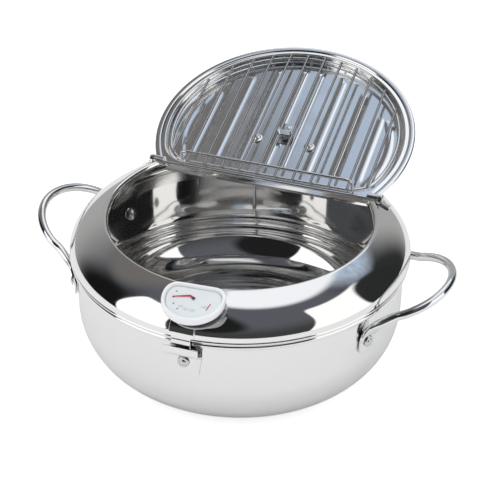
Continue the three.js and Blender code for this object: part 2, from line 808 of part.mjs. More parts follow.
function dialCase() {
  const shell = lofted(
    [
      dialLoop(3, -1.3),
      dialLoop(2.7, -1.2),
      dialLoop(2.7, 1.2),
      dialLoop(1.6, 1.9),
      dialLoop(0.5, 1.5),
      dialLoop(0, 0.6),
      dialLoop(0, -2.8),
      dialLoop(1.2, -4),
      dialLoop(4, -4.4),
    ].reverse(),
  );
  return solid(shell).subtract(solid(rod(1.1, -6, 2)));
}

function dialPlate() {
  const plate = lofted([dialLoop(3.1, -0.9), dialLoop(3.1, -0.3)]);
  return solid(plate).subtract(solid(rod(1.1, -3, 2)));
}

// The clip's plate carries a sleeve for the stem and two legs that stand on the dome.
function dialClip() {
  const plate = rod(19, -7.6, -6.4, 36).translate(3.5, -1, 0);
  const trim = block([-40, 40], [1, 40], [-20, 0]);
  const legs = [-9, 12].map((x) => solid(block([x - 4, x + 4], [-3.5, 0.5], [-24, -7])));
  const sleeve = rod(DIAL.stemR + 1.7, -20, -4.9);
  const local = joined(solid(plate).subtract(solid(trim)), ...legs);
  const inFrame = solid(geometryOf(local).applyMatrix4(dialGroup.matrix)).subtract(underDome(GAP + 0.1));
  const back = dialGroup.matrix.clone().invert();
  const onDome = solid(geometryOf(inFrame).applyMatrix4(back));
  return onDome.add(solid(sleeve)).subtract(solid(rod(DIAL.stemR + GAP, -30, 0)));
}

function stem() {
  const { stemR, stemBore, stemLength } = DIAL;
  return turned(
    [
      [stemBore, -4.7],
      [stemR, -4.7],
      [stemR, -stemLength + 2],
      [stemR * 0.7, -stemLength + 0.6],
      [0, -stemLength],
      [0, -stemLength + 3],
      [stemBore, -stemLength + 3],
    ],
    16,
  );
}

// A helical spring round the spindle.
class Helix extends THREE.Curve {
  getPoint(t) {
    const turns = 8;
    const angle = 2 * Math.PI * turns * t;
    return new THREE.Vector3(1.15 * Math.cos(angle), 1.15 * Math.sin(angle), -44 - 30 * t);
  }
}

function pointer() {
  const angle = THREE.MathUtils.degToRad(DIAL.pointerDeg);
  const shape = new THREE.Shape();
  shape.absarc(0, 0, 1.7, 0.35, 2 * Math.PI - 0.35);
  shape.lineTo(DIAL.pointerLength, -0.25);
  shape.lineTo(DIAL.pointerLength, 0.25);
  return extruded(shape, 0.4, 8).rotateZ(angle).translate(0, 0, 0.1);
}

place(dialGroup, "thermometer_case", geometryOf(dialCase()), polished);
place(dialGroup, "thermometer_dial", geometryOf(dialPlate()), dialWhite);
place(dialGroup, "thermometer_window", lofted([dialLoop(3.1, 0.9), dialLoop(3.1, 1.2)]), windowGlass);
place(dialGroup, "thermometer_clip", geometryOf(dialClip()), polished);
place(dialGroup, "thermometer_stem", stem(), polished);
place(dialGroup, "bimetal_coil", bentRod(new Helix(), 0.25, 64, 4), bimetal);
place(dialGroup, "thermometer_spindle", rod(0.6, -76, -0.2, 8), rivetSteel);
place(dialGroup, "thermometer_pointer", pointer(), pointerRed);

parts.add(lidGroup, dialGroup);

export default parts;
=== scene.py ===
import json
import math
from math import cos, pi, radians, sin, sqrt

import bmesh
import bpy
from mathutils import Matrix, Vector, geometry


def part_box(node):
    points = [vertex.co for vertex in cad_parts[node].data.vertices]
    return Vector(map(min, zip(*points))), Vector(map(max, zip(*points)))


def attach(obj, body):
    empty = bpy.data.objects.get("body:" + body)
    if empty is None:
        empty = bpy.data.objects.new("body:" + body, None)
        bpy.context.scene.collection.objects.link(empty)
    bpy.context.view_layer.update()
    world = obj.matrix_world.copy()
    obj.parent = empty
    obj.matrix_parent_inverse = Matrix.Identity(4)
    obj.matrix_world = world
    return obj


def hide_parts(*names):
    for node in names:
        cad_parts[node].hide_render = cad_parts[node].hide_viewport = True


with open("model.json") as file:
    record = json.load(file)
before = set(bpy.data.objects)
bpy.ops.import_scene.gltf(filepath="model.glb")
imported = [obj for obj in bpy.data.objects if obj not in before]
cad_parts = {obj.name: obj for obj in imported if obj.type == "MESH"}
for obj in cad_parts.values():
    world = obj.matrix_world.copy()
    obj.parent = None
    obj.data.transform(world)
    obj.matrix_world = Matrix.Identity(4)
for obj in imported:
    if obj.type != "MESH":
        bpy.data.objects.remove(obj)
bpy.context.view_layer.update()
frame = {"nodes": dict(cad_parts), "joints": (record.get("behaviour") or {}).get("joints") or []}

MM = 1000.0  # millimetres in a metre
TO_METRES = Matrix.Diagonal((1 / MM, 1 / MM, 1 / MM, 1))
SCENE = bpy.context.scene
TURN_STEPS = 192  # steps round the pot and the guard
SHARP_DEG = 33.0  # a larger angle between two faces stays a sharp edge
JOINTS = {joint["name"]: joint for joint in frame["joints"]}


def node_box(node):
    """The lowest and highest corner of a CAD node at rest, in millimetres."""
    low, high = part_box(node)
    return low * MM, high * MM


def joint_point(name):
    return Vector(JOINTS[name]["pos_m"]) * MM


# --- driving dimensions, from the frame where it has them ---
POT_HIGH = node_box("pot_body")[1]
RIM_Z = POT_HIGH.z
BEAD_R = POT_HIGH.x
WALL_R = BEAD_R - 3.5
WALL = 1.2
BASE_R = 79.0
CORNER_H = 45.0

GUARD_LOW, GUARD_HIGH = node_box("splash_guard")
FOOT_R = GUARD_HIGH.x
FOOT_Z = RIM_Z + 3.0
SHEET = 1.2
CREST_R = 99.0
CREST_RISE = 24.7
LIP_R = 95.2
LIP_Z = 106.6
SKIRT_R = 117.3
SKIRT_Z = GUARD_LOW.z

HINGE = joint_point("lid_hinge")
OPEN_DEG = 180.0 - JOINTS["lid_hinge"]["range_deg"][1]
LID_FRAME = Matrix.Translation(HINGE) @ Matrix.Rotation(radians(OPEN_DEG), 4, "X")
LID_PLANE = -1.5
LID_CENTRE = 51.1
LID_R = 100.0
LID_CHORD = -1.5
LID_MOUTH_INSET = 8.5
LID_DEPTH = 6.6
LID_SHEET = 1.0
LID_FLOOR_IN = LID_PLANE - LID_DEPTH + LID_SHEET / 2
LID_FLOOR_OUT = LID_FLOOR_IN - LID_SHEET
RIB_RISE = 0.34
LID_RIVET_U = 20.9
LID_RIVET_V = 46.2
LID_EDGE = (12.6, 11.5, 17)  # insets and corner of the dish's flat floor

RACK_LOOP_R = 87.5
RACK_LOOP_V = 5.0
RACK_CORNER = 22.0
RACK_LOOP_WIRE = 1.3
RACK_WIRE = 1.0
RACK_RAIL_WIRE = 1.2
RACK_PITCH = 14.0
RACK_COUNT = len([name for name in frame["nodes"] if name.startswith("rack_wire_")])
RACK_OVERHANG = 2.6
WIRE_W = LID_PLANE + 1.7
LOOP_W = WIRE_W - RACK_WIRE - RACK_LOOP_WIRE - 0.3

HUB = joint_point("pointer_turn")
DIAL_TILT_DEG = 11.0
DIAL_TURN_DEG = 3.6
DIAL_FRAME = (
    Matrix.Translation(HUB)
    @ Matrix.Rotation(radians(DIAL_TURN_DEG), 4, "Z")
    @ Matrix.Rotation(radians(DIAL_TILT_DEG), 4, "X")
)
CASE_R = 21.4
CASE_FLAT = 12.0
PLATE_INSET = 3.1
PLATE_TOP = -0.3
POINTER_DEG = 185.0

HANDLE_ROD = 3.2
HANDLE_FOOT_DEG = 24.5
HANDLE_RIVET_Z = 61.8
HANDLE_FOOT_LOW = 52.0
HANDLE_FOOT_HALF = 7.5
HANDLE_FOOT_THIN = 1.05
HANDLES = {
    "left": {"side": -1, "reach": 152.9, "tip": 94.5, "root": 76.0, "half": 42.0},
    "right": {"side": 1, "reach": 155.3, "tip": 90.0, "root": 75.0, "half": 41.0},
}
CATCH_X = 2.0
CATCH_DEG = -90.0 + math.degrees(CATCH_X / WALL_R)
CATCH_RIVET_Z = 66.6


# --- curves ---
def smooth(x, low, high):
    """0 below low, 1 above high, and a smooth step between them."""
    t = min(max((x - low) / (high - low), 0.0), 1.0)
    return t * t * (3 - 2 * t)


def arc(centre, radius, start_deg, end_deg, steps, squeeze=1.0):
    """Points on an arc in a plane. squeeze scales its second axis."""
    points = []
    for i in range(steps + 1):
        angle = radians(start_deg + (end_deg - start_deg) * i / steps)
        across = centre[0] + radius * cos(angle)
        points.append((across, centre[1] + radius * squeeze * sin(angle)))
    return points


def curve_through(points, steps):
    """Points along a centripetal Catmull-Rom curve, with so many steps between neighbours."""
    ends = [2 * points[0] - points[1], *points, 2 * points[-1] - points[-2]]
    made = []
    for p0, p1, p2, p3 in zip(ends, ends[1:], ends[2:], ends[3:]):
        t1 = sqrt((p1 - p0).length)
        t2 = t1 + sqrt((p2 - p1).length)
        t3 = t2 + sqrt((p3 - p2).length)
        for i in range(steps):
            t = t1 + (t2 - t1) * i / steps
            a1 = p0.lerp(p1, t / t1)
            a2 = p1.lerp(p2, (t - t1) / (t2 - t1))
            a3 = p2.lerp(p3, (t - t2) / (t3 - t2))
            b1 = a1.lerp(a2, t / t2)
            b2 = a2.lerp(a3, (t - t1) / (t3 - t1))
            made.append(b1.lerp(b2, (t - t1) / (t2 - t1)))
    return [*made, points[-1]]


def bezier(p0, p1, p2, p3, steps):
    """Points of a plane cubic Bezier curve."""
    made = []
    for i in range(steps + 1):
        t = i / steps
        weights = ((1 - t) ** 3, 3 * t * (1 - t) ** 2, 3 * t * t * (1 - t), t**3)
        corners = (p0, p1, p2, p3)
        made.append(tuple(sum(w * p[k] for w, p in zip(weights, corners)) for k in (0, 1)))
    return made


def filleted(corners, radius):
    """An open plane line whose inner corners are rounded, with a point about every 9 degrees."""
    corners = [Vector(c) for c in corners]
    made = [corners[0]]
    for before, corner, after in zip(corners, corners[1:], corners[2:]):
        into = (corner - before).normalized()
        out = (after - corner).normalized()
        turn = into.angle_signed(out)
        room = min((corner - before).length, (after - corner).length) * 0.48
        reach = min(radius * math.tan(abs(turn) / 2), room)
        start = corner - into * reach
        steps = max(2, round(math.degrees(abs(turn)) / 9.0))
        size = reach / math.tan(abs(turn) / 2)
        side = Vector((into.y, -into.x)) * (1 if turn > 0 else -1)
        centre = start + side * size
        for i in range(steps + 1):
            made.append(centre + Matrix.Rotation(-turn * i / steps, 2) @ (start - centre))
    return [*made, corners[-1]]


def corner_middle(radius, centre, chord, corner):
    """The middle of the right-hand corner of a D."""
    v = chord + corner
    return sqrt((radius - corner) ** 2 - (centre - v) ** 2), v


def d_outline(radius, centre, chord, corner, arc_steps=180, corner_steps=14):
    """A circle with one side cut straight and its two corners rounded, counter-clockwise."""
    corner_u, corner_v = corner_middle(radius, centre, chord, corner)
    meet = math.degrees(math.atan2(corner_v - centre, corner_u))
    right = arc((corner_u, corner_v), corner, -90, meet, corner_steps)
    top = arc((0, centre), radius, meet, 180 - meet, arc_steps)[1:-1]
    left = [(-u, v) for u, v in reversed(right)]
    return right + top + left


# --- solids, as bmesh objects in millimetres ---
def added_object(name, data):
    """A new object in the scene."""
    made = bpy.data.objects.new(name, data)
    SCENE.collection.objects.link(made)
    return made


def object_from(name, shape, finish):
    """Turns a finished shape into an object with one material."""
    mesh = bpy.data.meshes.new(name)
    shape.to_mesh(mesh)
    shape.free()
    mesh.materials.append(finish)
    return added_object(name, mesh)


def mesh_from(vertices, faces):
    shape = bmesh.new()
    made = [shape.verts.new(v) for v in vertices]
    for face in faces:
        shape.faces.new([made[i] for i in face])
    bmesh.ops.remove_doubles(shape, verts=shape.verts, dist=1e-4)
    bmesh.ops.recalc_face_normals(shape, faces=shape.faces)
    return shape


def skin(rows, wrap=False, closed=True):
    """The four-sided faces between neighbouring rows of equal length."""
    count = len(rows[0])
    faces = []
    for row in range(len(rows) if wrap else len(rows) - 1):
        below = row * count
        above = (row + 1) % len(rows) * count
        for i in range(count if closed else count - 1):
            j = (i + 1) % count
            faces.append((below + i, below + j, above + j, above + i))
    return faces


def lofted(rows, wrap=False, closed=True):
    """Joins rows into a skin. Without wrap, the first and last row are closed."""
    count = len(rows[0])
    faces = skin(rows, wrap, closed)
    if not wrap:
        last = (len(rows) - 1) * count
        faces.append(tuple(range(count)))
        faces.append(tuple(range(last, last + count)))
    return mesh_from([p for row in rows for p in row], faces)


def turned(profile, steps=TURN_STEPS):
    """Turns a profile of (radius, height) points about Z. It starts and ends on the axis, or is a ring."""
    rows = []
    for step in range(steps):
        angle = 2 * pi * step / steps
        rows.append([(r * cos(angle), r * sin(angle), z) for r, z in profile])
    on_axis = profile[0][0] == 0 and profile[-1][0] == 0
    return lofted(rows, wrap=True, closed=not on_axis)


def moved(shape, matrix):
    bmesh.ops.transform(shape, matrix=matrix, verts=shape.verts)
    return shape


def shifted(shape, x, y, z):
    return moved(shape, Matrix.Translation((x, y, z)))


def joined(*shapes):
    """One bmesh that holds several separate shells."""
    whole = shapes[0]
    for shape in shapes[1:]:
        mesh = bpy.data.meshes.new("shell")
        shape.to_mesh(mesh)
        whole.from_mesh(mesh)
        bpy.data.meshes.remove(mesh)
    return whole


def combined(base, other, operation):
    """The union, difference or intersection of two closed shapes."""
    made = []
    for shape in (base, other):
        mesh = bpy.data.meshes.new("operand")
        shape.to_mesh(mesh)
        made.append(added_object("operand", mesh))
    modifier = made[0].modifiers.new("combine", "BOOLEAN")
    modifier.operation = operation
    modifier.object = made[1]
    modifier.solver = "EXACT"
    evaluated = made[0].evaluated_get(bpy.context.evaluated_depsgraph_get())
    result = bmesh.new()
    result.from_mesh(evaluated.to_mesh())
    for thing in made:
        mesh = thing.data
        bpy.data.objects.remove(thing)
        bpy.data.meshes.remove(mesh)
    bmesh.ops.remove_doubles(result, verts=result.verts, dist=1e-3)
    return result


def block(along, across, up):
    corners = [(x, y, z) for x in along for y in across for z in up]
    faces = [(0, 1, 3, 2), (4, 6, 7, 5), (0, 4, 5, 1), (2, 3, 7, 6), (0, 2, 6, 4), (1, 5, 7, 3)]
    return mesh_from(corners, faces)


def prism(outline, low, high):
    """A plane outline of (x, y) points, extruded along Z."""
    return lofted([[(x, y, z) for x, y in outline] for z in (low, high)])


def swept(path, radius, sides=14, closed=False, shape_at=None):
    """A rod along a path. shape_at(index, direction, along) may change its radius in a direction."""
    count = len(path)
    along = []
    for i in range(count):
        if closed:
            step = path[(i + 1) % count] - path[i - 1]
        else:
            step = path[min(i + 1, count - 1)] - path[max(i - 1, 0)]
        along.append(step.normalized())
    across = along[0].orthogonal().normalized()
    rows = []
    for i, centre in enumerate(path):
        if i:
            across = along[i - 1].rotation_difference(along[i]) @ across
        across = (across - along[i] * across.dot(along[i])).normalized()
        other = along[i].cross(across)
        row = []
        for k in range(sides):
            angle = 2 * pi * k / sides
            direction = across * cos(angle) + other * sin(angle)
            size = shape_at(i, direction, along[i]) if shape_at else radius
            row.append(centre + direction * size)
        rows.append(row)
    return lofted(rows, wrap=closed)


def rod_with_round_ends(path, radius):
    """A wire whose two cut ends are domed."""
    steps = 4
    start = (path[0] - path[1]).normalized()
    end = (path[-1] - path[-2]).normalized()
    domes = [radians(84) * i / steps for i in range(1, steps + 1)]
    first = [path[0] + start * radius * sin(a) for a in reversed(domes)]
    last = [path[-1] + end * radius * sin(a) for a in domes]
    sizes = [cos(a) for a in reversed(domes)] + [1.0] * len(path) + [cos(a) for a in domes]
    return swept([*first, *path, *last], radius, shape_at=lambda i, d, t: radius * sizes[i])


def bent_strip(line, thickness, half_at, edge=0.3):
    """A strip of sheet along X. line holds (y, z) points of its middle, half_at(length) its half width."""
    rows = []
    travelled = 0.0
    for i, point in enumerate(line):
        before = line[max(i - 1, 0)]
        after = line[min(i + 1, len(line) - 1)]
        travelled += (point - before).length if i else 0.0
        along = (after - before).normalized()
        normal = Vector((0, along.y, -along.x))
        centre = Vector((0, point.x, point.y))
        half = half_at(travelled)
        rim = min(edge, thickness / 2 - 0.02, half * 0.6)
        section = []
        for sx, sn, start in ((1, 1, 0), (-1, 1, 90), (-1, -1, 180), (1, -1, 270)):
            for x, n in arc((sx * (half - rim), sn * (thickness / 2 - rim)), rim, start, start + 90, 3):
                section.append(centre + Vector((x, 0, 0)) + normal * n)
        rows.append(section)
    return lofted(rows)


def rounding(travelled, radius):
    """How much narrower a strip is at a distance from its rounded end."""
    return radius * (1 - sqrt(max(1 - (1 - min(travelled / radius, 1)) ** 2, 0)))


def outward(shape, degrees, radius, z):
    """Turns something built along +Z so that +Z points out of the pot at the given place."""
    angle = radians(degrees)
    turn = Matrix.Rotation(pi / 2 + angle, 4, "Z") @ Matrix.Rotation(pi / 2, 4, "X")
    return shifted(moved(shape, turn), radius * cos(angle), radius * sin(angle), z)


# --- materials ---
def add(tree, kind, **values):
    """A shader node, with its properties and its input sockets set by name."""
    node = tree.nodes.new("ShaderNode" + kind)
    for key, value in values.items():
        if key in node.inputs:
            node.inputs[key].default_value = value
        else:
            setattr(node, key, value)
    return node


def link(tree, source, target):
    tree.links.new(source, target)


def feed(tree, value, socket):
    """Links a socket to an output, or sets it to a number or an (r, g, b) colour."""
    if isinstance(value, bpy.types.NodeSocket):
        link(tree, value, socket)
    elif isinstance(value, tuple):
        socket.default_value = (*value, 1)
    else:
        socket.default_value = value


def calc(tree, operation, *values):
    node = add(tree, "Math", operation=operation)
    for socket, value in zip(node.inputs, values):
        feed(tree, value, socket)
    return node.outputs[0]


def surface(name):
    """A new material: itself, its tree, its Principled shader and the object's own coordinates."""
    made = bpy.data.materials.new(name)
    made.use_nodes = True
    tree = made.node_tree
    shader = tree.nodes["Principled BSDF"]
    place = add(tree, "TexCoord").outputs["Object"]
    return made, tree, shader, place


def noise(tree, place, scale, detail=2.0, stretch=(1, 1, 1)):
    mapping = add(tree, "Mapping", Scale=stretch)
    texture = add(tree, "TexNoise", Scale=scale, Detail=detail)
    link(tree, place, mapping.inputs["Vector"])
    link(tree, mapping.outputs["Vector"], texture.inputs["Vector"])
    return texture.outputs["Fac"]


def ranged(tree, value, low, high, from_low=0.3, from_high=0.7, curve="LINEAR"):
    """Maps a value from one range to another, and holds it there."""
    limits = {"From Min": from_low, "From Max": from_high, "To Min": low, "To Max": high}
    node = add(tree, "MapRange", interpolation_type=curve, **limits)
    link(tree, value, node.inputs["Value"])
    return node.outputs["Result"]


def mixed(tree, share, first, second, blend="MIX"):
    """The first colour where share is 0, and the second where it is 1."""
    node = add(tree, "Mix", data_type="RGBA", blend_type=blend)
    for socket, value in (("Factor", share), ("A", first), ("B", second)):
        feed(tree, value, node.inputs[socket])
    return node.outputs["Result"]


def bumped(tree, height, depth_mm, before=None):
    """A bump of a real depth, on top of an earlier one."""
    node = add(tree, "Bump", Strength=1.0, Distance=depth_mm / MM)
    link(tree, height, node.inputs["Height"])
    if before:
        link(tree, before, node.inputs["Normal"])
    return node.outputs["Normal"]


def steel(name, tint, roughness, ripple_mm, ripple_scale, grain_mm, grain=(1, 1, 8), ripples=(1, 1, 1)):
    """Polished stainless steel: faint tint changes, polish marks, ripples of the sheet, worn edges."""
    made, tree, shader, place = surface(name)
    shader.inputs["Metallic"].default_value = 1.0
    darker = tuple(0.95 * c for c in tint)
    stain = noise(tree, place, 14, 3)
    link(tree, mixed(tree, stain, darker, tint), shader.inputs["Base Color"])
    smear = noise(tree, place, 45, 4, (1, 1, 2.5))
    haze = ranged(tree, smear, roughness * 0.7, roughness * 1.35)
    edge = add(tree, "NewGeometry").outputs["Pointiness"]
    wear = ranged(tree, edge, 0.0, 0.07, 0.52, 0.62)
    link(tree, calc(tree, "ADD", haze, wear), shader.inputs["Roughness"])
    wavy = bumped(tree, noise(tree, place, ripple_scale, 1.5, ripples), ripple_mm)
    grainy = bumped(tree, noise(tree, place, 900, 2, grain), grain_mm, wavy)
    link(tree, grainy, shader.inputs["Normal"])
    return made


def painted(name, colour, shade, roughness, grain_mm, coat=0.0):
    """A printed or lacquered surface with a slight mottling and a fine texture."""
    made, tree, shader, place = surface(name)
    shader.inputs["Coat Weight"].default_value = coat
    mottle = noise(tree, place, 60, 3)
    link(tree, mixed(tree, mottle, shade, colour), shader.inputs["Base Color"])
    haze = ranged(tree, noise(tree, place, 200, 2), roughness * 0.8, roughness * 1.2)
    link(tree, haze, shader.inputs["Roughness"])
    link(tree, bumped(tree, noise(tree, place, 1500, 2), grain_mm), shader.inputs["Normal"])
    return made


def clear_window(name):
    """Thin clear plastic: see-through, with a reflection that grows at a glancing angle."""
    made, tree, shader, place = surface(name)
    tree.nodes.remove(shader)
    clear = add(tree, "BsdfTransparent", Color=(0.99, 1.0, 1.0, 1))
    gloss = add(tree, "BsdfGlossy", Roughness=0.04)
    link(tree, bumped(tree, noise(tree, place, 80, 1), 0.02), gloss.inputs["Normal"])
    glancing = add(tree, "LayerWeight", Blend=0.5).outputs["Facing"]
    steep = calc(tree, "POWER", glancing, 4.0)
    mix = add(tree, "MixShader")
    link(tree, ranged(tree, steep, 0.03, 0.6, 0.0, 1.0), mix.inputs["Fac"])
    link(tree, clear.outputs["BSDF"], mix.inputs[1])
    link(tree, gloss.outputs["BSDF"], mix.inputs[2])
    link(tree, mix.outputs["Shader"], tree.nodes["Material Output"].inputs["Surface"])
    return made


# Each steel has a tint, a roughness, the depth and scale of its ripples, the depth of its grain in mm,
# and how far the grain and the ripples are squeezed along X, Y and Z.
STEEL_TINT = (0.90, 0.895, 0.885)
POLISHED = steel("polished_steel", STEEL_TINT, 0.045, 0.02, 26, 0.0003)
GUARD_STEEL = steel("guard_steel", STEEL_TINT, 0.05, 0.02, 22, 0.0003)
LID_STEEL = steel("lid_steel", (0.92, 0.92, 0.92), 0.12, 0.014, 34, 0.0004, (1, 1, 8), (0.35, 1.6, 1))
ROD_STEEL = steel("rod_steel", (0.86, 0.86, 0.86), 0.07, 0.01, 60, 0.0004)
# The rack's wires are the rail's steel made darker: their dark tint is painted shade.
SHADED_WIRE_STEEL = steel("wire_steel", (0.52, 0.51, 0.50), 0.17, 0.008, 120, 0.0012, (1, 6, 6))
RAIL_STEEL = steel("rail_steel", (0.92, 0.92, 0.91), 0.16, 0.006, 120, 0.001, (6, 1, 6))
# A darker copy of the rivet steel for the pot's rivets, the hinge pins and the spindle: the dark tint is
# painted shade.
SHADED_RIVET_STEEL = steel("rivet_steel", (0.68, 0.68, 0.69), 0.22, 0.01, 150, 0.001)
# A lighter copy of the same rivet steel for the rivets on the dish: the bright tint is a painted highlight.
BRIGHTENED_RIVET_STEEL = steel("brightened_rivet_steel", (0.97, 0.97, 0.96), 0.25, 0.01, 150, 0.001)
# The thermometer's clip under the dial's case is steel darkened to a painted shade.
SHADED_CLAMP_STEEL = steel("shaded_clamp_steel", (0.42, 0.42, 0.43), 0.16, 0.01, 80, 0.0006)
CASE_WHITE = painted("case_white", (0.93, 0.94, 0.95), (0.89, 0.90, 0.92), 0.2, 0.001, 0.6)
DIAL_WHITE = painted("dial_white", (0.90, 0.91, 0.93), (0.86, 0.875, 0.90), 0.45, 0.002)
DIAL_BLACK = painted("dial_black", (0.03, 0.03, 0.035), (0.05, 0.05, 0.055), 0.5, 0.002)
DIAL_GREY = painted("dial_grey", (0.50, 0.52, 0.55), (0.56, 0.58, 0.60), 0.5, 0.002)
DIAL_RED = painted("dial_red", (0.60, 0.03, 0.06), (0.52, 0.03, 0.05), 0.5, 0.002)
POINTER_RED = painted("pointer_red", (0.68, 0.035, 0.09), (0.60, 0.03, 0.07), 0.35, 0.001, 0.4)
HUB_DARK = painted("hub_dark", (0.05, 0.05, 0.06), (0.08, 0.08, 0.09), 0.35, 0.001)
CLEAR = clear_window("clear_window")
BIMETAL = steel("bimetal", (0.62, 0.45, 0.24), 0.3, 0.005, 200, 0.002)


def piece(name, shape, body, finish, nodes=(), place=None):
    """Makes a finished piece from a shape in millimetres and fixes it to a CAD body."""
    if place is not None:
        moved(shape, place)
    moved(shape, TO_METRES)
    for face in shape.faces:
        face.smooth = True
    limit = radians(SHARP_DEG)
    for edge in shape.edges:
        edge.smooth = edge.calc_face_angle(0) < limit
    made = object_from(name, shape, finish)
    weighted = made.modifiers.new("even shading", "WEIGHTED_NORMAL")
    weighted.keep_sharp = True
    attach(made, body)
    if nodes:
        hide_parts(*nodes)
    return made


# --- camera ---
AZIMUTH = radians(18.76)
ELEVATION = radians(32.72)
ROLL = radians(0.55)
DISTANCE = 1056.3
TARGET = Vector((-0.5, 12.1, 78.1))


def make_camera():
    level = cos(ELEVATION)
    back = Vector((sin(AZIMUTH) * level, -cos(AZIMUTH) * level, sin(ELEVATION)))
    right = Vector((cos(AZIMUTH), sin(AZIMUTH), 0))
    up = back.cross(right)
    turn = Matrix((right, up, back)).transposed() @ Matrix.Rotation(ROLL, 3, "Z")
    data = bpy.data.cameras.new("camera")
    data.lens = 105.42
    data.clip_start = 0.05
    made = added_object("camera", data)
    made.matrix_world = Matrix.Translation((TARGET + back * DISTANCE) / MM) @ turn.to_4x4()
    SCENE.camera = made


make_camera()


# --- pot ---
def corner_arc(inset, steps=36):
    """The rounded lower corner, from the flat base up to the wall."""
    across = WALL_R - BASE_R - inset
    squeeze = (CORNER_H - inset) / across
    return arc((BASE_R, CORNER_H), across, -90, 0, steps, squeeze)


LEVEL_LINES = ((36, 1.7, 1.0), (28, 1.5, 0.6))  # height, half width, depth


def ridge(z):
    """How far the two pressed level lines stand in from the pot's inner wall."""
    return sum(depth * math.exp(-(((z - level) / half) ** 2)) for level, half, depth in LEVEL_LINES)


def pot():
    """The pot as one turned sheet with a rolled rim."""
    bead = 2.05  # radius of the rolled rim
    bead_centre = (BEAD_R - bead, RIM_Z - bead)
    inner = WALL_R - WALL
    outside = [(0, 0.6), (54, 0.6), (57, 0.25), (60, 0), *corner_arc(0)]
    rim = arc(bead_centre, bead, -135, 90, 18)
    lip = arc((inner + 0.8, RIM_Z - 0.8), 0.8, 90, 180, 4)
    wall = [(inner, z) for z in (78, 70, 60, 52)]
    corner = [(inner, CORNER_H - i * 0.5) for i in range(3)]
    corner += [(r, z) for r, z in reversed(corner_arc(WALL, 96))][3:]
    inside = [(r - ridge(z) if z < 44 and r > 100 else r, z) for r, z in corner]
    floor = [(56, WALL), (52, WALL + 0.1), (50, WALL + 0.5), (46, WALL + 0.6), (0, WALL + 0.6)]
    return turned([*outside, *rim, *lip, *wall, *inside, *floor])


piece("pot_shell", pot(), "pot", POLISHED, ["pot_body"])


# The section of a pressed head, as shares of its radius and of its rise.
RINGS = [(1, 0.2), (0.93, 0.4), (0.72, 0.54), (0.62, 0.5), (0.56, 0.66), (0.4, 0.88), (0.2, 0.98), (0, 1)]
WALL_RIVET_R = WALL_R - WALL - 0.7  # where the rivets of the pot's wall start


def rivet(grip, shank, head, inner_head, head_rise=2.0, inner_rise=3.0):
    """A rivet along +Z: the length it grips, three radii, and how far its heads are domed."""
    inner_dome = arc((0, 0), inner_head, -90, 0, 8, inner_rise / inner_head)
    outer_dome = [(head * across, grip + head_rise * up) for across, up in RINGS]
    inner_dome[0] = (0, inner_dome[0][1])
    return turned([*inner_dome, (shank, 0), (shank, grip), (head, grip), *outer_dome], 40)


# --- handles ---
def handle_path(side, reach, tip, root, half):
    """The middle of the rod, from the low end of one foot round to the low end of the other."""
    foot = radians(HANDLE_FOOT_DEG)
    flat = WALL_R + 1.35
    round_part = WALL_R + 3
    root_x = WALL_R - 2
    span, steps = 9.2, 8  # the bow's quarter turn, and how much of it is used before the shoulder
    points = []
    for i in range(-steps, steps + 1):
        angle = (i / span) * (pi / 2)
        share = cos(angle) ** 0.95
        x = root_x + (reach - root_x) * share
        points.append(Vector((side * x, half * sin(angle), root + (tip - root) * share)))
    lead = []
    for radius, z in ((flat, HANDLE_FOOT_LOW), (flat, 56), (flat, HANDLE_RIVET_Z), (flat + 0.7, 66.5)):
        lead.append((radius * cos(foot), radius * sin(foot), z))
    shoulder = (HANDLE_RIVET_Z + 6 + root) / 2 + 0.8
    lead.append((round_part * cos(foot) + 2.6, round_part * sin(foot) - 2.6, shoulder))
    start = [Vector((side * x, -y, z)) for x, y, z in lead]
    end = [Vector((side * x, y, z)) for x, y, z in reversed(lead)]
    return curve_through([*start, *points, *end], 7)


def handle(side, **size):
    """A rod whose two ends are pressed flat into feet."""
    path = handle_path(side, **size)
    travelled = [0.0]
    for before, after in zip(path, path[1:]):
        travelled.append(travelled[-1] + (after - before).length)
    total = travelled[-1]

    def radius_at(i, direction, along):
        centre = path[i]
        out = Vector((centre.x, centre.y, 0)).normalized()
        wide_axis = along.cross(out).normalized()
        thin_axis = wide_axis.cross(along)
        from_end = min(travelled[i], total - travelled[i])
        flat = 1 - smooth(from_end, 13, 27)  # 1 in the foot, 0 in the round rod
        thin = HANDLE_ROD + (HANDLE_FOOT_THIN - HANDLE_ROD) * flat
        wide = HANDLE_ROD + (HANDLE_FOOT_HALF - HANDLE_ROD) * flat - rounding(from_end, 5.0)
        power = 2 + 5 * flat
        a = abs(direction.dot(wide_axis)) / wide
        b = abs(direction.dot(thin_axis)) / thin
        return (a**power + b**power) ** (-1 / power)

    return swept(path, HANDLE_ROD, 44, shape_at=radius_at)


HANDLE_GRIP = 5.0
for word, options in HANDLES.items():
    piece(f"handle_rod_{word}", handle(**options), "pot", ROD_STEEL, [f"handle_{word}"])
    middle = 0 if options["side"] > 0 else 180
    for end_word, end in (("front", -1), ("back", 1)):
        degrees = middle + options["side"] * end * HANDLE_FOOT_DEG
        made = outward(rivet(HANDLE_GRIP, 2.2, 4.2, 5.0), degrees, WALL_RIVET_R, HANDLE_RIVET_Z)
        cad = f"handle_rivet_{word}_{end_word}"
        piece(f"rivet_{word}_{end_word}", made, "pot", SHADED_RIVET_STEEL, [cad])


# --- catch on the pot and clip on the guard ---
def catch_plate():
    """A strip riveted to the wall, whose upper half stands clear to take the latch's tongue."""
    on_wall = WALL_R + 0.95
    clear = WALL_R + 7.9
    line = filleted([(-on_wall, 56), (-on_wall, 71.6), (-clear, 76.6), (-clear, 82.6)], 3)
    strip = bent_strip(line, 1.2, lambda travelled: 12.5 - rounding(travelled, 2.0))
    return shifted(strip, CATCH_X, 0, 0)


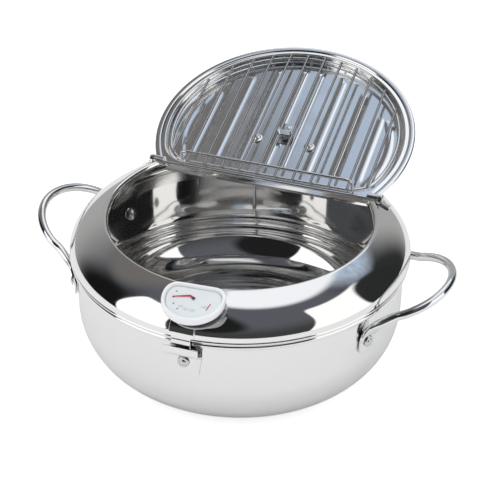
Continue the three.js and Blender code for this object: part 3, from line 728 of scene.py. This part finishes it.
piece("catch", catch_plate(), "pot", POLISHED, ["catch_plate"])
catch_rivet = outward(rivet(4.0, 2.2, 4.2, 4.6, 1.8, 2.4), CATCH_DEG, WALL_RIVET_R, CATCH_RIVET_Z)
piece("catch_rivet_head", catch_rivet, "pot", SHADED_RIVET_STEEL, ["catch_rivet"])


# --- splash guard ---
def dome_point(share, offset=0.0):
    """A point of the dome's section: a parabola from its foot, at 0, to its crest, at 1."""
    slope = Vector((CREST_RISE, 2 * (FOOT_R - CREST_R) * share))
    out = slope.normalized() * offset
    return (FOOT_R - (FOOT_R - CREST_R) * share**2 + out.x, FOOT_Z + CREST_RISE * share + out.y)


def under_dome(offset):
    """Everything under the dome's outer face, grown by an offset."""
    line = [dome_point(i / 48, offset) for i in range(49)]
    return turned([(0, FOOT_Z - 2), (line[0][0], FOOT_Z - 2), *line, (0, line[-1][1])])


def guard_ring():
    """The guard without its mouth's straight side: skirt, rolled foot, dome and lip."""
    crest = dome_point(1)
    dome = [dome_point(1 - i / 48) for i in range(48)]
    roll = bezier((LIP_R, crest[1] - 3.4), (LIP_R, crest[1] - 0.1), (97.2, crest[1] + 0.9), crest, 16)
    bead = arc((FOOT_R - 1.35, FOOT_Z - 1.3), 1.35, 48, -90, 12)
    outer = [(LIP_R, LIP_Z), *roll, *dome[1:], (FOOT_R - 0.45, FOOT_Z - 0.25), *bead]
    outer += [(SKIRT_R + 0.8, RIM_Z + 0.35), (SKIRT_R, RIM_Z - 0.4), (SKIRT_R, SKIRT_Z)]
    inner = [(SKIRT_R - SHEET, SKIRT_Z), (SKIRT_R - SHEET, RIM_Z + 1.2), (FOOT_R - 2.2, RIM_Z + 1.5)]
    inner += [dome_point(i / 24, -SHEET) for i in range(1, 25)]
    inside = LIP_R + SHEET
    inner += [(inside + 0.4, crest[1] - 2.6), (inside, crest[1] - 4.4), (inside, LIP_Z)]
    return turned([*outer, *inner])


BAY = {"front": 54.2, "ridge": 110.0, "ramp": 54.9, "floor_y": 60.7, "floor_z": 101.4, "centre": 105.0}
BAY_R = 93.0
NOTCH = {"half": 37.0, "y": 93.0, "z": 93.6}
LUG_ROOM = (76.0, 93.0)  # the cut for a hinge lug, from the middle outwards
FAR = 130.0  # past everything, for the far side of a cutting shape


def bay(grow):
    """The bay behind the hinge that takes the dished lid, with a notch for the lid's handle."""
    slope = math.atan2(BAY["ridge"] - BAY["floor_z"], BAY["floor_y"] - BAY["ramp"])
    shift = grow * math.tan(slope / 2)
    front, ridge_z, floor_z = (BAY[key] - grow for key in ("front", "ridge", "floor_z"))
    ramp = [(BAY["ramp"] - shift, ridge_z), (BAY["floor_y"] - shift, floor_z)]
    profile = [(front, FAR), (front, ridge_z), *ramp, (FAR, floor_z), (FAR, FAR)]
    bar = lofted([[(x, y, z) for y, z in profile] for x in (-FAR, FAR)])
    post = turned([(0, 80), (BAY_R + grow, 80), (BAY_R + grow, FAR), (0, FAR)])
    basin = combined(bar, shifted(post, 0, BAY["centre"], 0), "INTERSECT")
    half = NOTCH["half"] + grow
    notch = block((-half, half), (NOTCH["y"] - grow, FAR), (NOTCH["z"] - grow, FAR + 5))
    return combined(basin, notch, "UNION")


def splash_guard():
    """The ring with the bay let into it, the mouth's straight lip, and the thermometer's hole."""
    guard = combined(guard_ring(), bay(0), "DIFFERENCE")
    lining = combined(combined(bay(SHEET), bay(0), "DIFFERENCE"), under_dome(0), "INTERSECT")
    guard = combined(guard, lining, "UNION")
    lip = block((-LIP_R, LIP_R), (BAY["front"] - SHEET, BAY["front"]), (LIP_Z, BAY["ridge"] - SHEET / 2))
    post = turned([(0, 100), (LIP_R + SHEET / 2, 100), (LIP_R + SHEET / 2, 120), (0, 120)])
    guard = combined(guard, combined(lip, post, "INTERSECT"), "UNION")
    over = block((-LUG_ROOM[1], LUG_ROOM[1]), (BAY["front"] - 2, 60), (BAY["ridge"], FAR))
    guard = combined(guard, over, "DIFFERENCE")
    for side in (-1, 1):
        along = sorted((side * LUG_ROOM[0], side * LUG_ROOM[1]))
        guard = combined(guard, block(along, (48.5, 60), (BAY["ridge"] - 1.5, FAR)), "DIFFERENCE")
    hole = turned([(0, -25), (4.8, -25), (4.8, 0), (0, 0)], 48)
    return combined(guard, moved(hole, DIAL_FRAME), "DIFFERENCE")


piece("guard_shell", splash_guard(), "guard", GUARD_STEEL, ["splash_guard"])


def latch():
    """A clip that lies on the dome, steps over the rim and drops its tongue behind the catch."""
    lift = 1.05  # from the dome's outer face to the middle of the clip's sheet
    dome = [dome_point(0.46 - 0.44 * i / 22, lift) for i in range(23)]
    drop = filleted([dome[-1], (124.9, FOOT_Z - 1), (124.9, 76.1)], 1.6)
    line = [Vector((-r, z)) for r, z in dome[:-1]] + [Vector((-p[0], p[1])) for p in drop]
    knee = 11.2  # where the clip narrows to its tongue

    def half_at(travelled):
        return 8.75 - 2.0 * smooth(travelled, knee, knee + 1.6) - rounding(travelled, 3.4)

    return shifted(bent_strip(line, 1.0, half_at, 0.35), CATCH_X, 0, 0)


piece("latch", latch(), "guard", POLISHED, ["latch_clip"])


# --- hinge ---
def hinge_pin(side):
    start, end, radius, head = 79.2, 90.3, 1.5, 2.6
    profile = [(0, start), (radius - 0.3, start), (radius, start + 0.3), (radius, end), (head, end)]
    profile += arc((0, end + 0.4), head, 0, 90, 6, 0.42)
    profile[-1] = (0, profile[-1][1])
    place = Matrix.Translation(HINGE) @ Matrix.Rotation(side * pi / 2, 4, "Y")
    return moved(turned(profile, 32), place)


for word, side in (("left", -1), ("right", 1)):
    piece(f"pin_{word}", hinge_pin(side), "guard", SHADED_RIVET_STEEL, [f"hinge_pin_{word}"])


# --- lid ---
def lid_outline(inset, chord_inset, corner):
    return d_outline(LID_R - inset, LID_CENTRE, LID_CHORD + chord_inset, corner)


def lid_loops(sections, steps):
    """Outlines through sections of (inset, inset of the straight side, corner, height)."""
    made = []
    for inset, chord_inset, corner, height in curve_through([Vector(s) for s in sections], steps):
        outline = lid_outline(inset, chord_inset, corner)
        made.append([(u, v, LID_PLANE + height) for u, v in outline])
    return made


RIB_HALF = 3.3
RIB_FLAT = 0.7
RIB_LINES = (6.6, 26.6, 46.6, 66.6)
SIDE_RIB_R = 80.5
SIDE_RIB_DEG = 27.0


def rib_distance(u, v):
    """How far a point of the dish's floor is from the middle of the nearest pressed rib."""
    nearest = FAR
    for middle in RIB_LINES:
        reach = sqrt(76**2 - middle**2)
        low = max(LID_CENTRE - reach, 22)
        past = max(low - v, v - LID_CENTRE - reach, 0)
        nearest = min(nearest, math.hypot(abs(u) - middle, past))
    angle = math.degrees(math.atan2(v - LID_CENTRE, abs(u)))
    if abs(angle) < SIDE_RIB_DEG:
        nearest = min(nearest, abs(math.hypot(u, v - LID_CENTRE) - SIDE_RIB_R))
    return nearest


def rib_height(u, v):
    return RIB_RISE * (1 - smooth(rib_distance(u, v), RIB_FLAT, RIB_HALF))


def inside_floor(u, v, margin):
    """True inside the outline of the dish's floor, by a margin."""
    inset, chord_inset, corner = LID_EDGE
    if math.hypot(u, v - LID_CENTRE) > LID_R - inset - margin or v < LID_CHORD + chord_inset + margin:
        return False
    corner_u, corner_v = corner_middle(LID_R - inset, LID_CENTRE, LID_CHORD + chord_inset, corner)
    if v > corner_v:
        return True
    return math.hypot(max(abs(u) - corner_u, 0), v - corner_v) < corner - margin


def floor_mesh(outline):
    """Triangles over an outline, with a grid that is finer across the ribs than along them."""
    across, along = 0.95, 2.4
    points = [Vector(p) for p in outline]
    edges = [(i, (i + 1) % len(outline)) for i in range(len(outline))]
    columns = int(LID_R / across)
    for column in range(-columns, columns + 1):
        for row in range(int(2 * LID_R / along)):
            u = column * across
            v = LID_CENTRE + LID_R - row * along
            if inside_floor(u, v, 0.8):
                points.append(Vector((u, v)))
    made = geometry.delaunay_2d_cdt(points, edges, [], 1, 1e-5)
    return made[0], made[2]


def lid_pan():
    """The dished sheet, with a ribbed floor and a rolled rim. Heights are from the lid's plane."""
    wall = LID_MOUTH_INSET
    floor = -LID_DEPTH
    mouth = (wall - 1, 3.1, 24, 0.75)
    bead_foot = (5.0, 2.0, 9, 0.35)
    rim_low = (0, 0, 2.6, -0.5)
    under_flange = (wall - 1.3, 2.8, 24, -0.5)
    inner = [
        (*LID_EDGE, floor + 0.5),
        (wall + 2.2, 9.6, 17.8, floor + 0.75),
        (wall + 1.2, 8.2, 18.6, floor + 1.7),
        (wall + 0.7, 6.8, 20, floor + 3.2),
        (wall + 0.3, 4.8, 22, -2.2),
        (wall, 3.9, 23, 0.1),
        (wall - 0.4, 3.5, 23.4, 0.55),
        mouth,
    ]
    rolled = [
        bead_foot,
        (4.6, 1.8, 8, 0.8),
        (4.2, 1.6, 7, 1.15),
        (3.4, 1.3, 6, 1.3),
        (1.6, 0.7, 4, 1.25),
        (0.5, 0.3, 3, 0.9),
        (0, 0, 2.6, 0.1),
        rim_low,
    ]
    outer = [
        under_flange,
        (wall - 0.6, 3.4, 23, -2.3),
        (wall, 5.9, 21, floor + 2.8),
        (wall + 0.9, 8.4, 19.2, floor + 0.6),
        (*LID_EDGE, floor - 0.5),
    ]
    rows = lid_loops(inner, 4)
    under = [rim_low, (1.2, 0.6, 3, -0.5), under_flange]
    for sections, steps in (([mouth, bead_foot], 2), (rolled, 3), (under, 2), (outer, 4)):
        rows += lid_loops(sections, steps)[1:]
    points, triangles = floor_mesh(lid_outline(*LID_EDGE))
    vertices = [p for row in rows for p in row]
    faces = skin(rows)
    for level in (LID_FLOOR_IN, LID_FLOOR_OUT):
        start = len(vertices)
        vertices += [(u, v, level + rib_height(u, v)) for u, v in points]
        faces += [tuple(start + i for i in triangle) for triangle in triangles]
    return mesh_from(vertices, faces)


def lid_with_knuckles():
    """The dish, with a rolled knuckle round each hinge pin."""
    pan = lid_pan()
    start, end, bore, outer = 79.6, 87.8, 1.8, 3.0
    profile = [(bore, start), (bore, end), (outer - 0.2, end)]
    profile += [(outer, end - 0.2), (outer, start + 0.2), (outer - 0.2, start)]
    for side in (-1, 1):
        room = block(sorted((side * 88, side * 110)), (-6, 4.2), (-6, 6))
        pan = combined(pan, room, "DIFFERENCE")
        ring = turned(profile, 40)
        pan = joined(pan, moved(ring, Matrix.Rotation(side * pi / 2, 4, "Y")))
    return pan


piece("lid_dish", lid_with_knuckles(), "lid", LID_STEEL, ["lid_pan"], LID_FRAME)


STRAP_SHEET = 1.5
GAP = 0.3  # clearance between parts that are riveted together


def lid_strap():
    """The lid's fixed handle: a flat strap bent into a bridge."""
    top = LID_FLOOR_OUT - GAP - STRAP_SHEET / 2
    half, rise = 29.25, 23.1
    right = [(12, top), (half, top), (half, top - rise + STRAP_SHEET / 2)]
    corners = [*right, *((-u, w) for u, w in reversed(right))]
    strip = bent_strip(filleted(corners, 4), STRAP_SHEET, lambda travelled: 7.0)
    return shifted(moved(strip, Matrix.Rotation(pi / 2, 4, "Z")), 0, LID_RIVET_V, 0)


piece("lid_strap", lid_strap(), "lid", ROD_STEEL, ["lid_handle"], LID_FRAME)
RIB_TOP = LID_FLOOR_IN + RIB_RISE
STRAP_OUT = LID_FLOOR_OUT - GAP - STRAP_SHEET
for word, side in (("left", -1), ("right", 1)):
    made = rivet(RIB_TOP - STRAP_OUT + 2 * GAP, 1.8, 4.3, 3.8, 2.2, 1.6)
    place = LID_FRAME @ Matrix.Translation((side * LID_RIVET_U, LID_RIVET_V, STRAP_OUT - GAP))
    piece(f"dish_rivet_{word}", made, "lid", BRIGHTENED_RIVET_STEEL, [f"lid_rivet_{word}"], place)


# --- rack ---
def loop_span(u):
    """Where the loop wire lies at a distance u from the middle: near the hinge, and far from it."""
    corner_u, corner_v = corner_middle(RACK_LOOP_R, LID_CENTRE, RACK_LOOP_V, RACK_CORNER)
    past = max(abs(u) - corner_u, 0)
    near = corner_v - sqrt(RACK_CORNER**2 - past**2)
    return near, LID_CENTRE + sqrt(RACK_LOOP_R**2 - u**2)


loop = d_outline(RACK_LOOP_R, LID_CENTRE, RACK_LOOP_V, RACK_CORNER, 150, 16)
loop_path = [Vector((u, v, LOOP_W)) for u, v in loop]
loop_wire = swept(loop_path, RACK_LOOP_WIRE, closed=True)
piece("rack_frame", loop_wire, "rack", RAIL_STEEL, ["rack_loop"], LID_FRAME)

for number in range(RACK_COUNT):
    u = (number - (RACK_COUNT - 1) / 2) * RACK_PITCH
    near, far = loop_span(u)
    ends = [near - RACK_OVERHANG + RACK_WIRE, far + RACK_OVERHANG - RACK_WIRE]
    path = [Vector((u, ends[0] + (ends[1] - ends[0]) * i / 8, WIRE_W)) for i in range(9)]
    label = f"{number + 1:02d}"
    wire = rod_with_round_ends(path, RACK_WIRE)
    piece(f"wire_{label}", wire, "rack", SHADED_WIRE_STEEL, [f"rack_wire_{label}"], LID_FRAME)


def rack_rail():
    """The upper wire of the rack's straight side, turned down at both ends onto the loop."""
    top = LID_PLANE + 11.2
    foot = LOOP_W + RACK_LOOP_WIRE + RACK_RAIL_WIRE - 0.3
    half = [(67, 5, foot), (66.6, 4.4, top - 4), (65.6, 3.9, top - 1.1), (63.2, 3.7, top), (58, 3.7, top)]
    right = [Vector(p) for p in half]
    left = [Vector((-u, v, w)) for u, v, w in reversed(half)]
    return rod_with_round_ends(curve_through([*right, *left], 6), RACK_RAIL_WIRE)


piece("rail", rack_rail(), "rack", RAIL_STEEL, ["rack_rail"], LID_FRAME)


# --- clip on the lid that holds the rack's middle wires ---
CLIP_HALF = 5.4
CLIP_RIVET_V = 60.5


def rack_clip():
    """A folded strip on the dish's floor, with two ears that press against the wires."""
    foot = RIB_TOP + 0.8
    shelf = WIRE_W - RACK_WIRE - 1.6
    line = filleted([(66, foot), (57.5, foot), (55, shelf), (50, shelf)], 1.0)
    shape = bent_strip(line, 1.0, lambda travelled: CLIP_HALF)
    for side in (-1, 1):
        across = sorted((side * CLIP_HALF, side * (CLIP_HALF - 0.9)))
        shape = joined(shape, block(across, (50.4, 53.6), (shelf, WIRE_W + RACK_WIRE + 0.8)))
    return shape


piece("rack_clip_strip", rack_clip(), "lid", ROD_STEEL, ["rack_clip"], LID_FRAME)
made = rivet(RIB_TOP + 1.6 - LID_FLOOR_OUT + GAP, 1.4, 3.1, 3.0, 1.5, 1.0)
place = LID_FRAME @ Matrix.Translation((0, CLIP_RIVET_V, LID_FLOOR_OUT - GAP))
piece("rack_clip_rivet_head", made, "lid", BRIGHTENED_RIVET_STEEL, ["rack_clip_rivet"], place)


# --- thermometer ---
def dial_loop(inset, height):
    """The dial's outline, a D whose straight side is at its back."""
    outline = d_outline(CASE_R - inset, 0, -CASE_FLAT + inset, 9.0 - inset * 0.8, 90, 10)
    return [(-a, -b, height) for a, b in outline]


def dial_case():
    """A pressed cup whose rounded rim holds the window."""
    sections = [(3.6, -1.4), (2.75, -1.25), (2.7, 0.4), (2.45, 1.3), (1.9, 1.8), (1.2, 1.9), (0.55, 1.6)]
    sections += [(0.12, 0.9), (0, 0), (0, -2.4), (0.3, -3.3), (1.2, -4.1), (2.6, -4.4), (4, -4.4)]
    return lofted([dial_loop(inset, height) for inset, height in sections])


piece("dial_case", dial_case(), "guard", CASE_WHITE, ["thermometer_case"], DIAL_FRAME)
plate = lofted([dial_loop(PLATE_INSET, -0.9), dial_loop(PLATE_INSET, PLATE_TOP)])
piece("dial_plate", plate, "guard", DIAL_WHITE, ["thermometer_dial"], DIAL_FRAME)
window = lofted([dial_loop(2.9, 0.9), dial_loop(2.9, 1.1), dial_loop(3.1, 1.2)])
piece("dial_window", window, "guard", CLEAR, ["thermometer_window"], DIAL_FRAME)


INK = 0.06  # how far the print stands above the plate


def on_dial(radius, degrees, height=0.0):
    angle = radians(degrees)
    return Vector((radius * cos(angle), radius * sin(angle), height))


def dot(radius, degrees, size):
    disc = turned([(0, 0), (size, 0), (size, INK), (0, INK)], 20)
    return shifted(disc, *on_dial(radius, degrees, PLATE_TOP))


def tick(degrees, inner, outer, width):
    """A printed line that points at the hub."""
    shape = block((inner, outer), (-width / 2, width / 2), (PLATE_TOP, PLATE_TOP + INK))
    return moved(shape, Matrix.Rotation(radians(degrees), 4, "Z"))


def numeral(value):
    """A printed number, upright for someone who stands at the front."""
    degrees = NUMERAL_START_DEG + (value - NUMERAL_START) * DEG_PER_UNIT
    curve = bpy.data.curves.new("numeral", "FONT")
    curve.body = str(value)
    curve.size = 3.1
    curve.align_x = "CENTER"
    curve.align_y = "CENTER"
    curve.extrude = 0.03
    carrier = added_object("numeral", curve)
    evaluated = carrier.evaluated_get(bpy.context.evaluated_depsgraph_get())
    shape = bmesh.new()
    shape.from_mesh(evaluated.to_mesh())
    bpy.data.objects.remove(carrier)
    bpy.data.curves.remove(curve)
    return shifted(shape, *on_dial(10.6, degrees, PLATE_TOP + 0.04))


SCALE_START_DEG = 161.0
SCALE_STEP_DEG = 24.5
NUMERAL_START = 60
NUMERAL_START_DEG = 233.0
DEG_PER_UNIT = 0.77
TICK_START_DEG = 229.0
TICK_STEP_DEG = 4.74
dots = joined(*[dot(13.4, SCALE_START_DEG + SCALE_STEP_DEG * i, 0.55) for i in range(4)])
numbers = joined(*[numeral(value) for value in (60, 90, 120, 180)])
fine = joined(*[tick(TICK_START_DEG + TICK_STEP_DEG * i, 15.6, 16.4, 0.16) for i in range(21)])
red_mark = prism([(11.9, -1.9), (12.6, -2.2), (11.2, -8.6), (10.6, -8.3)], PLATE_TOP, PLATE_TOP + 0.07)
PRINTS = (
    ("dial_dots", dots, DIAL_BLACK),
    ("dial_numbers", numbers, DIAL_GREY),
    ("dial_ticks", fine, DIAL_GREY),
    ("dial_red_mark", red_mark, DIAL_RED),
)
for name, shape, ink in PRINTS:
    piece(name, shape, "guard", ink, (), DIAL_FRAME)


def pointer_shape():
    """A thin needle that joins its hub through a short elbow."""
    tip = on_dial(14.2, POINTER_DEG)
    elbow = on_dial(3.4, POINTER_DEG - 38)
    along = (elbow - tip).normalized()
    side = Vector((-along.y, along.x, 0))
    hub_side = Vector((elbow.y, -elbow.x, 0)).normalized()
    return [
        tip - side * 0.22,
        elbow - side * 0.75,
        hub_side * -0.9,
        hub_side * 0.9,
        elbow + side * 0.3 + along * 0.7,
        elbow + side * 0.65,
        tip + side * 0.22,
    ]


red = prism([(p.x, p.y) for p in pointer_shape()], 0.1, 0.45)
piece("pointer_needle", red, "needle", POINTER_RED, ["thermometer_pointer"], DIAL_FRAME)
hub_dome = [(0, 0.05), (1.15, 0.05), (1.15, 0.5), (0.9, 0.72), (0, 0.78)]
piece("pointer_hub", turned(hub_dome, 28), "needle", HUB_DARK, (), DIAL_FRAME)

STEM_R = 2.4
STEM_LENGTH = 88.0
stem_tip = arc((0, STEM_R - STEM_LENGTH), STEM_R, -90, 0, 8)
stem_tip[0] = (0, stem_tip[0][1])
STEM_BORE_R = 1.7
STEM_TOP = -4.7
STEM_FLOOR = 3 - STEM_LENGTH
stem_bore = [(STEM_BORE_R, STEM_TOP), (STEM_BORE_R, STEM_FLOOR), (0, STEM_FLOOR)]
stem = turned([*stem_tip, (STEM_R, STEM_TOP), *stem_bore], 40)
piece("stem", stem, "guard", ROD_STEEL, ["thermometer_stem"], DIAL_FRAME)


# --- CAD nodes that keep their own shape ---
KEPT = {
    "thermometer_clip": SHADED_CLAMP_STEEL,
    "bimetal_coil": BIMETAL,
    "thermometer_spindle": SHADED_RIVET_STEEL,
    "hinge_bracket_left": POLISHED,
    "hinge_bracket_right": POLISHED,
}
for node, finish in KEPT.items():
    mesh = frame["nodes"][node].data
    mesh.materials.clear()
    mesh.materials.append(finish)


# --- studio ---
# What the steel mirrors: patches over a dim room, each laid over those before it. A patch is (azimuth from
# +Y towards +X, half width, elevation, half height, turn, all in degrees, roundness, soft share, brightness,
# colour). Roundness 2 is an ellipse, and 10 nearly a rectangle.
WHITE = (1.0, 1.0, 1.0)
COOL = (0.92, 0.96, 1.0)
ROOM_LOW = (0.05, 0.05, 0.05)
ROOM_HIGH = (0.105, 0.112, 0.13)
BACKDROP = [
    (0, 44, 0, 50, 0, 2, 0.9, 0.42, WHITE),
    (-34, 44, -4, 44, 0, 2, 1.2, 0.40, WHITE),
    (-104, 26, 12, 34, 0, 2, 0.9, 0.008, WHITE),
    (50, 27, 14, 38, 0, 2, 0.8, 0.03, COOL),
    (-172, 32, 42, 25, 0, 2, 0.4, 0.014, COOL),
]
LIGHTS = [
    (-6, 23, 44, 7, 0, 8, 0.3, 1.05, WHITE),
    (88, 27, 7, 45, 13.5, 12, 0.05, 1.15, WHITE),
    (57, 18, 13, 31, 0, 2, 0.14, 0.026, COOL),
    (-133, 18, 24, 31, -8, 10, 0.05, 1.2, WHITE),
]
CEILING_PATCH = (-22, 74, 66, 30, 0, 6, 0.3)
CEILING_BROWN = (0.165, 0.155, 0.148)
CEILING_BLUE = (0.44, 0.53, 0.66)
CEILING_WHITE = (1.0, 1.02, 1.06)
BROWN_ENDS_X = -0.265
WHITE_STARTS_X = -0.09
OVERHEAD_FROM = 0.92  # a direction's Z plus a quarter of its Y
AROUND = (0.85, 0.86, 0.87)  # what diffuse surfaces are lit by


def studio():
    """The world: patches for glossy rays, an even white for the rest."""
    world = bpy.data.worlds.new("studio")
    SCENE.world = world
    world.use_nodes = True
    tree = world.node_tree
    background = tree.nodes["Background"]
    place = add(tree, "TexCoord").outputs["Generated"]
    axes = add(tree, "SeparateXYZ")
    link(tree, place, axes.inputs[0])

    def do(operation, *values):
        return calc(tree, operation, *values)

    def falls(value, limit, soft):
        """1 where value is under a limit, and 0 beyond a soft edge."""
        return ranged(tree, value, 1.0, 0.0, limit - soft / 2, limit + soft / 2, "SMOOTHSTEP")

    def rises(value, limit, soft):
        return do("SUBTRACT", 1.0, falls(value, limit, soft))

    azimuth = do("MULTIPLY", do("ARCTAN2", axes.outputs["X"], axes.outputs["Y"]), 180 / pi)
    elevation = do("MULTIPLY", do("ARCSINE", axes.outputs["Z"]), 180 / pi)

    def patch_share(bearing, half_wide, level, half_high, turn, roundness, soft):
        """1 inside a patch and 0 outside it."""
        aside = do("WRAP", do("SUBTRACT", azimuth, bearing), 180, -180)
        above = do("SUBTRACT", elevation, level)
        cosine = cos(radians(turn))
        sine = sin(radians(turn))
        along = do("ADD", do("MULTIPLY", aside, cosine), do("MULTIPLY", above, sine))
        up = do("SUBTRACT", do("MULTIPLY", above, cosine), do("MULTIPLY", aside, sine))
        wide = do("POWER", do("ABSOLUTE", do("DIVIDE", along, half_wide)), roundness)
        high = do("POWER", do("ABSOLUTE", do("DIVIDE", up, half_high)), roundness)
        return falls(do("POWER", do("ADD", wide, high), 1 / roundness), 1.0, soft)

    def with_patches(look, patches):
        for *shape, brightness, colour in patches:
            look = mixed(tree, patch_share(*shape), look, tuple(brightness * c for c in colour))
        return look

    look = mixed(tree, falls(elevation, 30, 40), ROOM_HIGH, ROOM_LOW)
    look = with_patches(look, BACKDROP)

    # The ceiling, which the open lid mirrors: brown on the left, blue in the middle, white on the right.
    ceiling = patch_share(*CEILING_PATCH)
    streaks = ranged(tree, noise(tree, place, 9, 2, (1, 3, 3)), 0.82, 1.2)
    blue = mixed(tree, 1.0, CEILING_BLUE, streaks, "MULTIPLY")
    look = mixed(tree, ceiling, look, CEILING_BROWN)
    middle = do("MULTIPLY", ceiling, rises(axes.outputs["X"], BROWN_ENDS_X, 0.05))
    look = mixed(tree, middle, look, blue)
    height = do("ADD", do("MULTIPLY", axes.outputs["Y"], 0.25), axes.outputs["Z"])
    overhead = rises(height, OVERHEAD_FROM, 0.04)
    right = rises(axes.outputs["X"], WHITE_STARTS_X, 0.08)
    look = mixed(tree, do("MULTIPLY", overhead, right), look, CEILING_WHITE)
    look = with_patches(look, LIGHTS)

    rays = add(tree, "LightPath").outputs
    flat = mixed(tree, rays["Is Camera Ray"], AROUND, WHITE)
    link(tree, mixed(tree, rays["Is Glossy Ray"], flat, look), background.inputs["Color"])


TABLE_R = 1400.0


def floor():
    """A pale table that the fryer stands on, and that the lower half of the pot mirrors."""
    made, tree, shader, place = surface("table")
    shader.inputs["Roughness"].default_value = 0.9
    shader.inputs["Specular IOR Level"].default_value = 0.0
    mottle = noise(tree, place, 5, 2)
    base = mixed(tree, mottle, (0.90, 0.90, 0.90), (0.92, 0.92, 0.92))
    link(tree, base, shader.inputs["Base Color"])
    shader.inputs["Emission Color"].default_value = (1, 1, 1, 1)
    seen = add(tree, "LightPath").outputs["Is Camera Ray"]
    link(tree, ranged(tree, seen, 0.0, 0.6, 0.0, 1.0), shader.inputs["Emission Strength"])
    edge = [(TABLE_R, -4), (TABLE_R + 2, -2), (TABLE_R, 0)]
    disc = turned([(0, -4), *edge, (0, 0)], 96)
    object_from("table", moved(disc, TO_METRES), made)


def soft_light():
    """A weak lamp from above that gives the table and the handles a soft shade."""
    data = bpy.data.lights.new("overhead", "AREA")
    data.shape = "DISK"
    data.size = 1.2
    data.energy = 4.0
    light = added_object("overhead", data)
    light.location = (-0.25, -0.35, 1.5)
    light.rotation_euler = (radians(-13), radians(-9), 0)
    light.visible_glossy = False


studio()
floor()
soft_light()
SCENE.view_settings.view_transform = "Standard"
SCENE.cycles.glossy_bounces = 10
SCENE.cycles.max_bounces = 14
